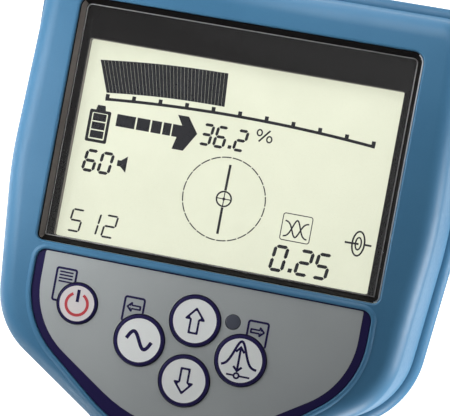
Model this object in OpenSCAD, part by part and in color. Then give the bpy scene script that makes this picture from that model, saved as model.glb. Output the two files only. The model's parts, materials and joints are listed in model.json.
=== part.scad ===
// Hand-held cable locator: a tilted display head on a neck, a loop handle over a battery arm, and an
// antenna blade that ends in a rubber foot. Millimetres, +Z up, origin under the foot, user at -Y.
// The head is drawn in its own frame: X across, Y up the display, Z out of it, zero at the screen's middle.

/* [Head] */
// Height of the screen's middle above the neck's lower edge
head_rise = 294; // [284:1:306]
// Place of the screen's middle along the blade's depth
head_y = -8; // [-12:1:-4]
// Tilt of the display from level
head_tilt = 36; // [33:0.5:39]
// Border of the head beside the window, at its top corners
side_border = 16.4; // [15:0.1:18]
// How much further out the head reaches at its widest, on each side
side_bow = 1.8; // [0.8:0.1:3]
// Widest place of the head below the screen's middle
widest_drop = 9.8; // [4:0.1:16]
// Top edge above the screen's middle
head_top = 55.2; // [54:0.1:58]
// Shoulders below the screen's middle
shoulder_drop = 59.6; // [58:0.1:62]
// How far the shoulders stand inside the widest place, on each side
shoulder_step = 5; // [3:0.1:6]
// Waist below the screen's middle
waist_drop = 84.3; // [84:0.1:88]
// Half width of the waist, where the head runs into the handle
waist_half = 24; // [23:0.5:26]
// End of the head below the screen's middle
head_end_drop = 118; // [116:0.5:122]
// Depth of the head's flat underside below the lowest point of its seam
belly_depth = 9.82; // [9:0.01:12]
// Radius of the top corners in plan
top_corner_r = 13.5; // [13:0.1:18]
// Radius of the bowed sides in plan
side_r = 130; // [100:1:180]
// Radius of the shoulders in plan
shoulder_r = 28.4; // [22:0.1:32]
// Radius of the waist in plan
waist_r = 12; // [8:0.1:16]
// Wall of the casings
casing_wall = 3; // [2.4:0.1:3.4]

/* [Seam] */
// Depth of the seam below the display face at the top edge
seam_depth = 16; // [14:0.5:18]
// Lean of the seam against the display face
seam_lean = 11.8; // [11:0.1:12.4]
// How far the top casing stands inside the rim at the seam
flank_inset = 3; // [2.4:0.1:3.6]
// Run of the rounded shoulder in plan
shoulder_run = 6.2; // [5.6:0.1:6.6]
// Height of the bead on the lower casing's rim
bead_height = 2.5; // [2:0.1:3]
// Thickness of the seal in the seam
seal_thickness = 1; // [0.6:0.1:1.4]
// Start of the slope that runs down to the handle, below the screen's middle
slope_start = 90; // [89:0.5:92]
// Fall of that slope
slope_fall = 22; // [20:0.5:24]

/* [Display] */
// Border of the window beside the visible screen
window_border = 4; // [3.5:0.1:5]
// Top of the window above the screen's middle
window_top = 39.6; // [38:0.1:40.5]
// Bottom of the window below the screen's middle
window_drop = 30.4; // [30:0.1:31]
// Radius of the window's top corners
window_r = 4; // [3:0.1:6]
// Width of the frame's sloped lip
frame_lip = 1.5; // [1.2:0.1:1.8]
// Depth of the lens below the display face
lens_depth = 2.8; // [2.2:0.1:3.2]
// Thickness of the lens
lens_thickness = 1.6; // [1.2:0.1:2]
// Visible width of the screen
screen_width = 90; // [86:0.1:92]
// Visible height of the screen
screen_height = 56.6; // [54:0.1:58]
// Depth of the screen glass below the display face
screen_depth = 7.3; // [6.6:0.1:7.8]
// Border of the screen glass outside its visible part
screen_border = 3; // [2.6:0.1:3.2]
// Thickness of the screen glass
screen_thickness = 2.4; // [2:0.1:3]
// Thickness of the backlight
backlight_thickness = 3; // [2.4:0.1:3.4]

/* [Keypad] */
// How far the sides of the keypad sheet stand inside those of the window
sheet_step = 1.2; // [0.6:0.1:2.5]
// Top edge of the keypad sheet below the screen's middle
sheet_top = 32.7; // [32.4:0.1:33.2]
// Corner of the keypad sheet below the screen's middle
sheet_corner_drop = 53.4; // [52.5:0.1:54.5]
// Tip of the keypad sheet, before its rounding, below the screen's middle
sheet_tip_drop = 91; // [89.5:0.1:91.5]
// Thickness of the keypad sheet
sheet_thickness = 0.6; // [0.4:0.05:0.8]
// Depth of the keypad sheet's bed below the display face
sheet_bed = 0.8; // [0.7:0.05:1]
// Width of the lip round the keypad sheet's bed
surround_width = 1.4; // [1:0.1:1.6]
// Height of that lip above the display face
surround_rise = 0.5; // [0.3:0.05:0.7]
// Radius of the four round keys
key_r = 7.1; // [6.6:0.1:7.4]
// Radius of the power key
power_r = 5.7; // [5:0.1:6.6]
// Distance of the side keys from the middle
side_key_x = 14.5; // [14.2:0.1:17]
// Side keys below the screen's middle
side_key_drop = 52.8; // [52:0.1:53.2]
// Up key below the screen's middle
up_key_drop = 44.5; // [43.6:0.1:44.8]
// Down key below the screen's middle
down_key_drop = 61.4; // [60.9:0.1:63]
// Place of the power key from the side key to the sheet's edge, as a share
power_key_share = 0.4656; // [0.41:0.01:0.54]
// Power key below the screen's middle
power_key_drop = 46.1; // [44:0.1:50]
// Height of a key above the display face
key_rise = 0.5; // [0.4:0.1:1.2]
// Travel of a key
key_travel = 0.6; // [0.4:0.05:0.8]
// Radius of the light sensor
sensor_r = 2.1; // [1.6:0.1:2.3]
// Distance of the light sensor from the middle
sensor_x = 10.5; // [10.3:0.1:11.4]
// Light sensor below the screen's middle
sensor_drop = 42.8; // [41.8:0.1:43]

/* [Neck] */
// Height of the neck's lower edge
neck_base = 322; // [316:1:326]
// Half width of the neck
neck_half = 24; // [23:0.5:26]
// Half depth of the neck at its base
neck_half_depth = 37; // [35.5:0.5:40]
// Front end of the neck under the head, above the screen's middle
neck_front_reach = 22; // [20:0.5:24]
// Rear end of the neck under the head, below the screen's middle
neck_rear_reach = 116; // [112:0.5:117]
// Wall of the neck and handle shells
shell_wall = 3; // [2.6:0.1:3.3]

/* [Handle] */
// Length of the collar between the head and the handle
collar_length = 6; // [4:0.5:8]
// Depth of the handle's axis below the display face, at the head
handle_depth = 41; // [40:0.5:42]
// Straight run from the collar to the bend of the grip
grip_lead = 42; // [38:0.5:46]
// Slope of the grip
grip_slope = 16; // [14:0.5:18]
// Radius of the bend at the front of the grip
grip_bend_r = 110; // [90:1:130]
// Place of the rear post behind the blade's axis
post_back = 204; // [200:1:206]
// Radius of the bend at the rear of the grip
post_bend_r = 30; // [26:0.5:34]
// Half width of the grip
grip_half = 19; // [18:0.5:20]
// Half height of the grip
grip_half_height = 16; // [15:0.5:17]
// Half width of the handle at the collar
root_half = 22; // [21:0.5:23]
// Half height of the handle at the collar
root_half_height = 18; // [17:0.5:19]
// Thickness of the grip sleeve
sleeve_thickness = 2; // [1.5:0.1:3]

/* [Battery arm] */
// Height of the battery arm's axis above the neck's lower edge
arm_rise = 46; // [42:1:50]
// Rear end of the battery arm behind the blade's axis
arm_end = 232; // [230:1:240]
// Outer radius of the battery arm
arm_r = 22; // [21.5:0.1:23]
// Radius of a cell
cell_r = 16.6; // [16:0.1:17]
// Length of a cell
cell_length = 61.5; // [59:0.1:62]
// Radius of the spigot that enters the neck
spigot_r = 15; // [13:0.1:15.5]
// Thickness of the battery door
door_thickness = 5; // [4.4:0.1:5.6]
// Drop of the hinge axis below the arm's axis
hinge_drop = 26; // [25.8:0.1:27]
// Radius of the hinge barrel
barrel_r = 4; // [3.6:0.1:4.2]
// Radius of the hinge pin
pin_r = 1.5; // [1.2:0.05:1.8]
// Rise of the door's stud above the arm's axis
stud_rise = 27.5; // [27.2:0.1:28.5]
// Radius of the stud's shank
stud_r = 2.4; // [2:0.1:2.6]

/* [Blade] */
// Half width of the blade at its top
blade_half_top = 19.5; // [19:0.1:19.8]
// Half depth of the blade at its top
blade_depth_top = 32; // [31:0.1:32.4]
// Half width of the blade at its bottom
blade_half_bottom = 18; // [17.4:0.1:18.6]
// Half depth of the blade at its bottom
blade_depth_bottom = 28; // [27:0.1:29]
// Height of the blade's bottom edge
blade_bottom = 10; // [8:0.5:12]
// Length of blade inside the neck
blade_overlap = 26; // [24:0.5:27]
// Wall of the blade
blade_wall = 2.5; // [2.2:0.1:2.8]
// Height of the rubber foot
foot_height = 46; // [40:1:60]
// Wall of the rubber foot
foot_wall = 3.4; // [2.8:0.1:5]

/* [Sockets] */
// Height of the socket panel's middle above the neck's lower edge
panel_rise = 154; // [148:1:158]
// Radius of the accessory socket's bore
accessory_r = 6; // [5:0.1:6.4]
// Depth of the accessory socket's bore
accessory_depth = 10; // [8:0.5:11]
// Radius of the headphone socket's bore
jack_r = 1.8; // [1.7:0.05:2]
// Depth of the headphone socket's bore
jack_depth = 14; // [12:0.5:15]

/* [Hidden] */
$fn = 48;

// Overrun of every cut past the face that it opens
cut = 1;
// Clearance between fixed pieces
fit_gap = 0.1;
// Clearance around moving pieces
move_gap = 0.3;
// Radial clearance of a running pin
pin_gap = 0.05;
// Depth by which a boss roots in the wall that carries it
root_depth = 1;
// Points on a rounded corner and parts of a straight edge in the head's outline
corner_steps = 6;
edge_parts = 3;
// Rings on the casings' rounded flanks, outside and inside
flank_steps = 6;
inner_steps = 4;
// Points on half of an oval section, its squareness, and the rings along the neck
half_steps = 16;
oval_power = 2.6;
neck_steps = 8;
flare_power = 4;

// Screws that close the casings and shells
screw_r = 1.5;
screw_head_r = 3.1;
screw_head_height = 2.2;
counterbore_gap = 0.4;
screw_gap = 0.15;
screw_bite = 14;
boss_r = 4.5;

// Small screws that hold boards
small_r = 1;
small_head_r = 1.9;
small_head_height = 1.1;
small_gap = 0.02;

function lerp(a, b, t) = a + (b - a) * t;
function unit(a) = a / norm(a);
function turn_of(a, b) = a[0] * b[1] - a[1] * b[0];
function limit(t) = max(0, min(1, t));
function ease(t) = t * t * (3 - 2 * t);

// Points of one rounded corner, with the outline moved in by inset
function corner(before, at, after, r, inset, steps) =
    let (
        a = unit(before - at),
        b = unit(after - at),
        half = acos(a * b) / 2,
        middle = at + unit(a + b) * r / sin(half),
        reach = turn_of(at - before, after - at) > 0 ? r - inset : r + inset,
        first = at + a * r / tan(half) - middle,
        last = at + b * r / tan(half) - middle,
        from = atan2(first[1], first[0]),
        raw = atan2(last[1], last[0]) - from,
        sweep = raw > 180 ? raw - 360 : raw < -180 ? raw + 360 : raw
    )
    [for (i = [0:steps]) middle + reach * [cos(from + sweep * i / steps), sin(from + sweep * i / steps)]];

// A closed outline with rounded corners, moved in by inset, with each straight edge in parts
function outline(points, radii, inset, parts) =
    let (
        n = len(points),
        arcs = [for (i = [0:n - 1])
            corner(points[(i + n - 1) % n], points[i], points[(i + 1) % n], radii[i], inset, corner_steps)]
    )
    [for (i = [0:n - 1]) each concat(arcs[i],
        [for (k = [1:1:parts - 1]) lerp(arcs[i][corner_steps], arcs[(i + 1) % n][0], k / parts)])];

// Triangles of the wall between neighbouring rings of n points, counted from first
function wall_faces(rings, n, first, inward) =
    [for (k = [0:rings - 2], i = [0:n - 1])
        let (
            a = first + k * n + i,
            b = first + (k + 1) * n + i,
            c = first + (k + 1) * n + (i + 1) % n,
            d = first + k * n + (i + 1) % n
        )
        each inward ? [[a, c, b], [a, d, c]] : [[a, b, c], [a, c, d]]];

// Triangles from a ring to one middle point
function fan_faces(first, n, middle, ahead) =
    [for (i = [0:n - 1])
        let (a = first + i, b = first + (i + 1) % n)
        ahead ? [middle, b, a] : [middle, a, b]];

// Triangles of the flat band between an outer and an inner ring
function band_faces(outer, inner, n, ahead) =
    [for (i = [0:n - 1])
        let (a = outer + i, b = outer + (i + 1) % n, c = inner + (i + 1) % n, d = inner + i)
        each ahead ? [[a, c, b], [a, d, c]] : [[a, b, c], [a, c, d]]];

// A closed solid through rings, with a middle point at each end
module loft(rings, start, finish) {
    n = len(rings[0]);
    count = len(rings);
    points = concat([for (ring = rings) each ring], [start, finish]);
    faces = concat(
        wall_faces(count, n, 0, false),
        fan_faces(0, n, count * n, false),
        fan_faces((count - 1) * n, n, count * n + 1, true)
    );
    polyhedron(points, faces, convexity = 6);
}

// A cup with its rim at the first rings and its crown at the last
module cup(outer, inner, outer_middle, inner_middle) {
    n = len(outer[0]);
    first = len(outer) * n + 1;
    points = concat(
        [for (ring = outer) each ring], [outer_middle], [for (ring = inner) each ring], [inner_middle]
    );
    faces = concat(
        wall_faces(len(outer), n, 0, false),
        fan_faces((len(outer) - 1) * n, n, first - 1, true),
        wall_faces(len(inner), n, first, true),
        fan_faces(first + (len(inner) - 1) * n, n, first + len(inner) * n, false),
        band_faces(0, first, n, false)
    );
    polyhedron(points, faces, convexity = 6);
}

// A pipe through outer and inner rings, open at both ends
module pipe(outer, inner) {
    n = len(outer[0]);
    first = len(outer) * n;
    points = concat([for (ring = outer) each ring], [for (ring = inner) each ring]);
    faces = concat(
        wall_faces(len(outer), n, 0, false),
        wall_faces(len(inner), n, first, true),
        band_faces(0, first, n, false),
        band_faces((len(outer) - 1) * n, first + (len(inner) - 1) * n, n, true)
    );
    polyhedron(points, faces, convexity = 6);
}

// A half pipe whose rings run out along the outer wall and back along the inner one
module half_pipe(rings) {
    n = len(rings[0]);
    last = (len(rings) - 1) * n;
    side = n / 2;
    faces = concat(
        wall_faces(len(rings), n, 0, false),
        [for (j = [0:side - 2]) each [[j, j + 1, n - 2 - j], [j, n - 2 - j, n - 1 - j]]],
        [for (j = [0:side - 2]) each [
            [last + j, last + n - 2 - j, last + j + 1],
            [last + j, last + n - 1 - j, last + n - 2 - j]
        ]]
    );
    polyhedron([for (ring = rings) each ring], faces, convexity = 6);
}

// Squared oval sections: all round, and the half on +X with its inner wall
function squared(c) = sign(c) * pow(abs(c), 2 / oval_power);
function oval_point(a, b, angle) = [a * squared(cos(angle)), b * squared(sin(angle))];
function oval(a, b) = [for (i = [0:2 * half_steps - 1]) oval_point(a, b, 180 * i / half_steps - 90)];
function half_oval(a, b, wall) = concat(
    [for (i = [0:half_steps]) oval_point(a, b, 180 * i / half_steps - 90)],
    [for (i = [0:half_steps]) oval_point(a - wall, b - wall, 90 - 180 * i / half_steps)]
);
function level(points, z) = [for (p = points) [p[0], p[1], z]];
function backwards(ring) = [for (i = [len(ring) - 1:-1:0]) ring[i]];
// A section set square to a line in the YZ plane
function across(points, at, along) =
    [for (p = points) [p[0], at[0] + along[1] * p[1], at[1] - along[0] * p[1]]];

// Round bars along X and along Y
module bar_x(r, from, to) {
    translate([from, 0, 0]) rotate([0, 90, 0]) cylinder(r = r, h = to - from);
}
module bar_y(r, from, to) {
    translate([0, from, 0]) rotate([-90, 0, 0]) cylinder(r = r, h = to - from);
}
// An upright plate or block from an outline
module plate(points, from, to) {
    translate([0, 0, from]) linear_extrude(height = to - from) polygon(points);
}
// A box around X = 0 and Y = 0
module block(half_x, half_y, from, to) {
    translate([-half_x, -half_y, from]) cube([2 * half_x, 2 * half_y, to - from]);
}
// A screw with its head below zero and its shank up to length
module screw(r, head_r, head_height, length) {
    cylinder(r = r, h = length);
    translate([0, 0, -head_height]) cylinder(r = head_r, h = head_height);
}
// Four places, mirrored about X = 0, at two heights
module at_four(x, upper, lower) {
    for (side = [-1, 1], v = [upper, lower]) translate([side * x, v, 0]) children();
}

// The head's frame
module in_head() {
    translate([0, head_y, head_z]) rotate([head_tilt, 0, 0]) children();
}
// A point of the head's middle plane as Y and Z
function head_point(v, w) = [
    head_y + v * cos(head_tilt) - w * sin(head_tilt),
    head_z + v * sin(head_tilt) + w * cos(head_tilt)
];

// Widths that follow from the screen: the window, the head round it, and the keypad sheet below it
window_half = screen_width / 2 + window_border;
head_half_top = window_half + side_border;
head_half_width = head_half_top + side_bow;
shoulder_half = head_half_width - shoulder_step;
sheet_half = window_half - sheet_step;
power_key_x = lerp(side_key_x + key_r, sheet_half, power_key_share);
// Depth of the head's underside below the display face
head_depth = belly_depth - seam_w(-head_end_drop);
// Heights that follow from the neck's lower edge
head_z = neck_base + head_rise;
arm_z = neck_base + arm_rise;
panel_z = neck_base + panel_rise;

// The head's outline runs past its end by the tail, which is cut off square
tail_length = 22;
tail_r = 18;
slope_run = 32;
crown_drop = 40;
crown_shares = [0.85, 0.7, 0.55, 0.25];
tail_drop = head_end_drop + tail_length;
head_points = [
    [head_half_top, head_top], [-head_half_top, head_top], [-head_half_width, -widest_drop],
    [-shoulder_half, -shoulder_drop], [-waist_half, -waist_drop],
    [-waist_half, -tail_drop], [waist_half, -tail_drop],
    [waist_half, -waist_drop], [shoulder_half, -shoulder_drop], [head_half_width, -widest_drop]
];
head_radii = [
    top_corner_r, top_corner_r, side_r, shoulder_r, waist_r, tail_r, tail_r, waist_r, shoulder_r, side_r
];
function rim(inset) = outline(head_points, head_radii, inset, edge_parts);
function seam_w(v) = -seam_depth - (head_top - v) * tan(seam_lean);
function face_w(v) = -slope_fall * ease(limit((-slope_start - v) / slope_run));

// Rings of the top casing, from the seam at 90 degrees to the flat face at 0
function flank_in(angle) = flank_inset + shoulder_run * (1 - sin(angle));
function flank_ring(angle, wall) =
    [for (p = rim(flank_in(angle) + wall))
        [p[0], p[1], lerp(face_w(p[1]) - wall, seam_w(p[1]) + seal_thickness / 2, 1 - cos(angle))]];
function crown_ring(share, wall) =
    [for (p = rim(flank_in(0) + wall))
        let (v = (p[1] + crown_drop) * share - crown_drop)
        [p[0] * share, v, face_w(v) - wall]];
function top_rings(wall, steps) = concat(
    [for (k = [0:steps]) flank_ring(90 * (1 - k / steps), wall)],
    [for (share = crown_shares) crown_ring(share, wall)]
);

// Rings of the lower casing, from the bead on its rim down to its flat keel
function bead_ring(angle) =
    [for (p = rim(flank_inset * (1 - sin(angle))))
        [p[0], p[1], seam_w(p[1]) - seal_thickness / 2 - bead_height * (1 - cos(angle))]];
function keel(p, half) = [
    half * p[0] / pow(pow(abs(p[0]), 3) + pow(half, 3), 1 / 3),
    p[1] - (p[1] + tail_drop) * (head_top - neck_front_reach) / (head_top + tail_drop)
];
function bowl_ring(angle, wall) =
    [for (p = rim(wall))
        let (
            low = keel(p, neck_half - wall),
            start = seam_w(p[1]) - seal_thickness / 2 - bead_height,
            in_share = 1 - cos(angle)
        )
        [lerp(p[0], low[0], in_share), lerp(p[1], low[1], in_share),
            lerp(start, wall - head_depth, sin(angle))]];
lip_ring = [for (p = rim(flank_inset + casing_wall)) [p[0], p[1], seam_w(p[1]) - seal_thickness / 2]];
bead_steps = 3;
lower_outer = concat(
    [for (k = [0:bead_steps]) backwards(bead_ring(90 * k / bead_steps))],
    [for (k = [1:flank_steps]) backwards(bowl_ring(90 * k / flank_steps, 0))]
);
lower_inner = concat(
    [backwards(lip_ring)],
    [for (k = [0:inner_steps]) backwards(bowl_ring(90 * k / inner_steps, casing_wall))]
);

// Cuts the head off square at its end
module head_end_cut() {
    far = head_half_width + head_depth;
    translate([-far, -head_end_drop - 2 * far, -2 * far]) cube([2 * far, 2 * far, 4 * far]);
}

// Window outline, and the keypad sheet's outline
window_points = [
    [window_half, window_top], [-window_half, window_top],
    [-window_half, -window_drop], [window_half, -window_drop]
];
window_low_r = 0.4;
window_radii = [window_r, window_r, window_low_r + frame_lip, window_low_r + frame_lip];
function window_outline(inset) = outline(window_points, window_radii, inset, 1);
sheet_corner_r = 3;
sheet_side_r = 25;
sheet_tip_r = 40;
sheet_points = [
    [sheet_half, -sheet_top], [-sheet_half, -sheet_top], [-sheet_half, -sheet_corner_drop],
    [0, -sheet_tip_drop], [sheet_half, -sheet_corner_drop]
];
sheet_radii = [sheet_corner_r, sheet_corner_r, sheet_side_r, sheet_tip_r, sheet_side_r];
function sheet_outline(inset) = outline(sheet_points, sheet_radii, inset, 1);

// Places of the keys, and the radius of each
key_places = [
    [-power_key_x, -power_key_drop], [-side_key_x, -side_key_drop], [0, -up_key_drop],
    [0, -down_key_drop], [side_key_x, -side_key_drop]
];
key_radii = [power_r, key_r, key_r, key_r, key_r];
module at_keys() {
    for (i = [0:len(key_places) - 1]) translate(key_places[i]) children();
}

// Case screws: bosses in the top casing over posts in the lower one
case_boss_r = 3.5;
case_boss_gap = 0.25;
case_upper = 32;
case_lower = -30;
case_post_r = 5.5;
case_post_gap = 1.2;
case_post_floor = 4;
case_bite = 8;

// Display stack, as depths below the display face
frame_top = 0.2;
frame_bottom = screen_depth - fit_gap;
carrier_wall = 2;
carrier_gap = 0.25;
carrier_half = screen_width / 2 + screen_border + carrier_gap + carrier_wall;
carrier_half_height = screen_height / 2 + screen_border + carrier_gap + carrier_wall;
backlight_top = screen_depth + screen_thickness + fit_gap;
carrier_floor = backlight_top + backlight_thickness + fit_gap;
carrier_bottom = carrier_floor + carrier_wall;
ear_r = 2.5;
ear_upper = 10;
ear_lower = -14;
ear_x = carrier_half + ear_r;
case_x = carrier_half + case_boss_gap + case_boss_r;
standoff_r = 2.5;
standoff_height = 2;
standoff_inset = 7;
standoff_x = screen_width / 2 - standoff_inset;
standoff_v = 24;
board_thickness = 1.6;
main_board_top = carrier_bottom + standoff_height;
main_board_bottom = main_board_top + board_thickness;

// Keypad stack, as depths below the display face
flange_lip = 0.75;
flange_thickness = 0.9;
stem_r = 2;
dome_r = 3;
dome_height = 0.7;
press_gap = 0.1;
stem_length = 1.8;
flange_top = casing_wall + move_gap;
stem_bottom = flange_top + flange_thickness + stem_length;
dome_top = stem_bottom + key_travel + press_gap;
keypad_board_top = dome_top + dome_height;
keypad_board_bottom = keypad_board_top + board_thickness;
keypad_board_inset = 3;
keypad_post_r = 2.5;
keypad_post_share = 0.5126;
keypad_post_x = keypad_post_share * sheet_half;
keypad_post_upper = -39.5;
keypad_post_lower = -65;

module top_casing() {
    color("steelblue") in_head() difference() {
        union() {
            cup(top_rings(0, flank_steps), top_rings(casing_wall, inner_steps),
                [0, -crown_drop, 0], [0, -crown_drop, -casing_wall]);
            for (side = [-1, 1], v = [case_upper, case_lower]) {
                translate([side * case_x, v, seam_w(v) + case_post_gap])
                    cylinder(r = case_boss_r, h = root_depth - casing_wall - seam_w(v) - case_post_gap);
            }
            at_four(ear_x, ear_upper, ear_lower) translate([0, 0, -screen_depth])
                cylinder(r = ear_r, h = screen_depth - casing_wall + root_depth);
            at_four(keypad_post_x, keypad_post_upper, keypad_post_lower) translate([0, 0, -keypad_board_top])
                cylinder(r = keypad_post_r, h = keypad_board_top - casing_wall + root_depth);
            plate(sheet_outline(-fit_gap - surround_width), -root_depth, surround_rise);
        }
        head_end_cut();
        plate(window_outline(0), -casing_wall - cut, cut);
        plate(sheet_outline(-fit_gap), -sheet_bed, surround_rise + cut);
        for (i = [0:len(key_places) - 1]) translate([each key_places[i], -casing_wall - cut])
            cylinder(r = key_radii[i] + move_gap, h = casing_wall + 2 * cut);
        translate([sensor_x, -sensor_drop, -casing_wall - cut])
            cylinder(r = sensor_r + fit_gap, h = casing_wall + 2 * cut);
        for (side = [-1, 1], v = [case_upper, case_lower]) translate([side * case_x, v, seam_w(v)])
            cylinder(r = screw_r + small_gap, h = case_bite + cut);
        at_four(ear_x, ear_upper, ear_lower) translate([0, 0, -screen_depth - cut])
            cylinder(r = small_r + small_gap, h = screen_depth - casing_wall + cut);
        at_four(keypad_post_x, keypad_post_upper, keypad_post_lower)
            translate([0, 0, -keypad_board_top - cut])
                cylinder(r = small_r + small_gap, h = keypad_board_top - casing_wall + cut);
    }
}

// Opening in the keel for the wires, and the bolts that hold the head on the neck
keel_slot_half = 9;
keel_slot_upper = -32;
keel_slot_lower = -64;
bolt_x = 16.5;
bolt_upper = -20;
bolt_lower = -75;
bolt_bite = 12;
bolt_boss_r = 4.3;
bolt_boss_length = 15;

module lower_casing() {
    color("steelblue") in_head() difference() {
        union() {
            cup(lower_outer, lower_inner,
                [0, -crown_drop, -head_depth], [0, -crown_drop, casing_wall - head_depth]);
            intersection() {
                loft(lower_outer, [0, -crown_drop, seam_w(-crown_drop)], [0, -crown_drop, -head_depth]);
                for (side = [-1, 1], v = [case_upper, case_lower])
                    translate([side * case_x, v, -head_depth])
                        cylinder(r = case_post_r, h = head_depth + seam_w(v) - case_post_gap);
            }
        }
        head_end_cut();
        translate([-keel_slot_half, keel_slot_lower, -head_depth - cut])
            cube([2 * keel_slot_half, keel_slot_upper - keel_slot_lower, casing_wall + 2 * cut]);
        at_four(bolt_x, bolt_upper, bolt_lower) translate([0, 0, -head_depth - cut])
            cylinder(r = screw_r + screw_gap, h = casing_wall + 2 * cut);
        for (side = [-1, 1], v = [case_upper, case_lower]) translate([side * case_x, v, -head_depth - cut]) {
            cylinder(r = screw_r + screw_gap, h = head_depth);
            cylinder(r = screw_head_r + counterbore_gap,
                h = head_depth + seam_w(v) - case_post_gap - case_post_floor + cut);
        }
    }
}

// The seal lies between the casings, just inside the flank
seal_inset = 0.8;
function seal_ring(inset, up) =
    [for (p = rim(flank_inset + inset)) [p[0], p[1], seam_w(p[1]) + up * seal_thickness / 2]];

module casing_seal() {
    color("black") in_head() difference() {
        pipe([seal_ring(seal_inset, -1), seal_ring(seal_inset, 1)],
            [seal_ring(casing_wall, -1), seal_ring(casing_wall, 1)]);
        head_end_cut();
    }
}

// The frame's lip slopes from the window's edge down to the lens
lens_gap = 0.1;
screen_gap = 0.2;

module window_frame() {
    color("black") in_head() difference() {
        plate(window_outline(fit_gap), -frame_bottom, -frame_top);
        hull() {
            plate(window_outline(frame_lip), -lens_depth - lens_thickness, -lens_depth);
            plate(window_outline(2 * fit_gap), -frame_top, cut);
        }
        plate(window_outline(frame_lip), -lens_depth - lens_thickness, -lens_depth);
        block(screen_width / 2 + screen_gap, screen_height / 2 + screen_gap, -frame_bottom - cut, cut);
    }
}

module display_lens() {
    color("white", 0.3) in_head()
        plate(window_outline(frame_lip + lens_gap), -lens_depth - lens_thickness, -lens_depth);
}

module screen_glass() {
    color("ivory") in_head() block(screen_width / 2 + screen_border, screen_height / 2 + screen_border,
        -screen_depth - screen_thickness, -screen_depth);
}

module backlight_panel() {
    color("white") in_head() block(screen_width / 2 + screen_border, screen_height / 2 + screen_border,
        -carrier_floor + fit_gap, -backlight_top);
}

module display_carrier() {
    color("dimgray") in_head() difference() {
        union() {
            block(carrier_half, carrier_half_height, -carrier_bottom, -screen_depth);
            for (side = [-1, 1], v = [ear_upper, ear_lower]) translate([side * ear_x, v, -screen_depth]) {
                translate([0, 0, -carrier_wall]) cylinder(r = ear_r, h = carrier_wall);
                translate([-ear_r, -ear_r, -carrier_wall]) cube([2 * ear_r, 2 * ear_r, carrier_wall]);
            }
            at_four(standoff_x, standoff_v, -standoff_v) translate([0, 0, -main_board_top])
                cylinder(r = standoff_r, h = standoff_height + root_depth);
        }
        block(carrier_half - carrier_wall, carrier_half_height - carrier_wall, -carrier_floor, cut);
        at_four(ear_x, ear_upper, ear_lower) translate([0, 0, -screen_depth - carrier_wall - cut])
            cylinder(r = small_r + fit_gap, h = carrier_wall + 2 * cut);
        at_four(standoff_x, standoff_v, -standoff_v) translate([0, 0, -main_board_top - cut])
            cylinder(r = small_r + small_gap, h = standoff_height + carrier_wall);
    }
}

module display_screws() {
    color("silver") in_head() at_four(ear_x, ear_upper, ear_lower)
        translate([0, 0, -screen_depth - carrier_wall])
            screw(small_r, small_head_r, small_head_height,
                carrier_wall + screen_depth - casing_wall - root_depth);
}

// Main board under the carrier, with its chips below it
main_board_half = screen_width / 2;
main_board_half_height = 30;
chip_height = 2.4;
chip_places_share = [[-0.55, 0.45], [0.1, 0.4], [0.6, -0.2], [-0.2, -0.45]];
chip_halves_share = [[0.2, 0.25], [0.28, 0.3], [0.16, 0.3], [0.22, 0.2]];

module main_board() {
    color("darkgreen") in_head() difference() {
        block(main_board_half, main_board_half_height, -main_board_bottom, -main_board_top);
        at_four(standoff_x, standoff_v, -standoff_v) translate([0, 0, -main_board_bottom - cut])
            cylinder(r = small_r + fit_gap, h = board_thickness + 2 * cut);
    }
}

module board_chips() {
    color("black") in_head() for (i = [0:len(chip_places_share) - 1]) {
        at = chip_places_share[i];
        halves = chip_halves_share[i];
        translate([at[0] * main_board_half, at[1] * main_board_half_height, 0])
            block(halves[0] * main_board_half, halves[1] * main_board_half_height,
                -main_board_bottom - chip_height, -main_board_bottom);
    }
}

module board_screws() {
    color("silver") in_head() at_four(standoff_x, standoff_v, -standoff_v)
        translate([0, 0, -main_board_bottom])
            screw(small_r, small_head_r, small_head_height, board_thickness + standoff_height);
}

module keypad_sheet() {
    color("gray") in_head() difference() {
        plate(sheet_outline(0), -sheet_bed, sheet_thickness - sheet_bed);
        for (i = [0:len(key_places) - 1]) translate([each key_places[i], -sheet_bed - cut])
            cylinder(r = key_radii[i] + move_gap, h = sheet_bed + 2 * cut);
        translate([sensor_x, -sensor_drop, -sheet_bed - cut])
            cylinder(r = sensor_r + fit_gap, h = sheet_bed + 2 * cut);
    }
}

// One key: a cap that shows, a flange that keeps it in and a stem over its dome
module key(i) {
    color("gainsboro") in_head() translate(key_places[i]) {
        translate([0, 0, -flange_top]) cylinder(r = key_radii[i], h = flange_top + key_rise);
        translate([0, 0, -flange_top - flange_thickness])
            cylinder(r = key_radii[i] + flange_lip, h = flange_thickness);
        translate([0, 0, -stem_bottom]) cylinder(r = stem_r, h = stem_length + flange_thickness);
    }
}
module power_key() { key(0); }
module frequency_key() { key(1); }
module up_key() { key(2); }
module down_key() { key(3); }
module peak_key() { key(4); }

module light_sensor() {
    color("darkslategray") in_head() translate([sensor_x, -sensor_drop, -keypad_board_top])
        cylinder(r = sensor_r, h = keypad_board_top - fit_gap);
}

module key_domes() {
    color("silver") in_head() at_keys() translate([0, 0, -keypad_board_top])
        cylinder(r = dome_r, h = dome_height);
}

module keypad_board() {
    color("darkgreen") in_head() difference() {
        plate(sheet_outline(keypad_board_inset), -keypad_board_bottom, -keypad_board_top);
        at_four(keypad_post_x, keypad_post_upper, keypad_post_lower)
            translate([0, 0, -keypad_board_bottom - cut])
                cylinder(r = small_r + fit_gap, h = board_thickness + 2 * cut);
    }
}

module keypad_screws() {
    color("silver") in_head() at_four(keypad_post_x, keypad_post_upper, keypad_post_lower)
        translate([0, 0, -keypad_board_bottom])
            screw(small_r, small_head_r, small_head_height,
                board_thickness + keypad_board_top - casing_wall - root_depth);
}

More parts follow.
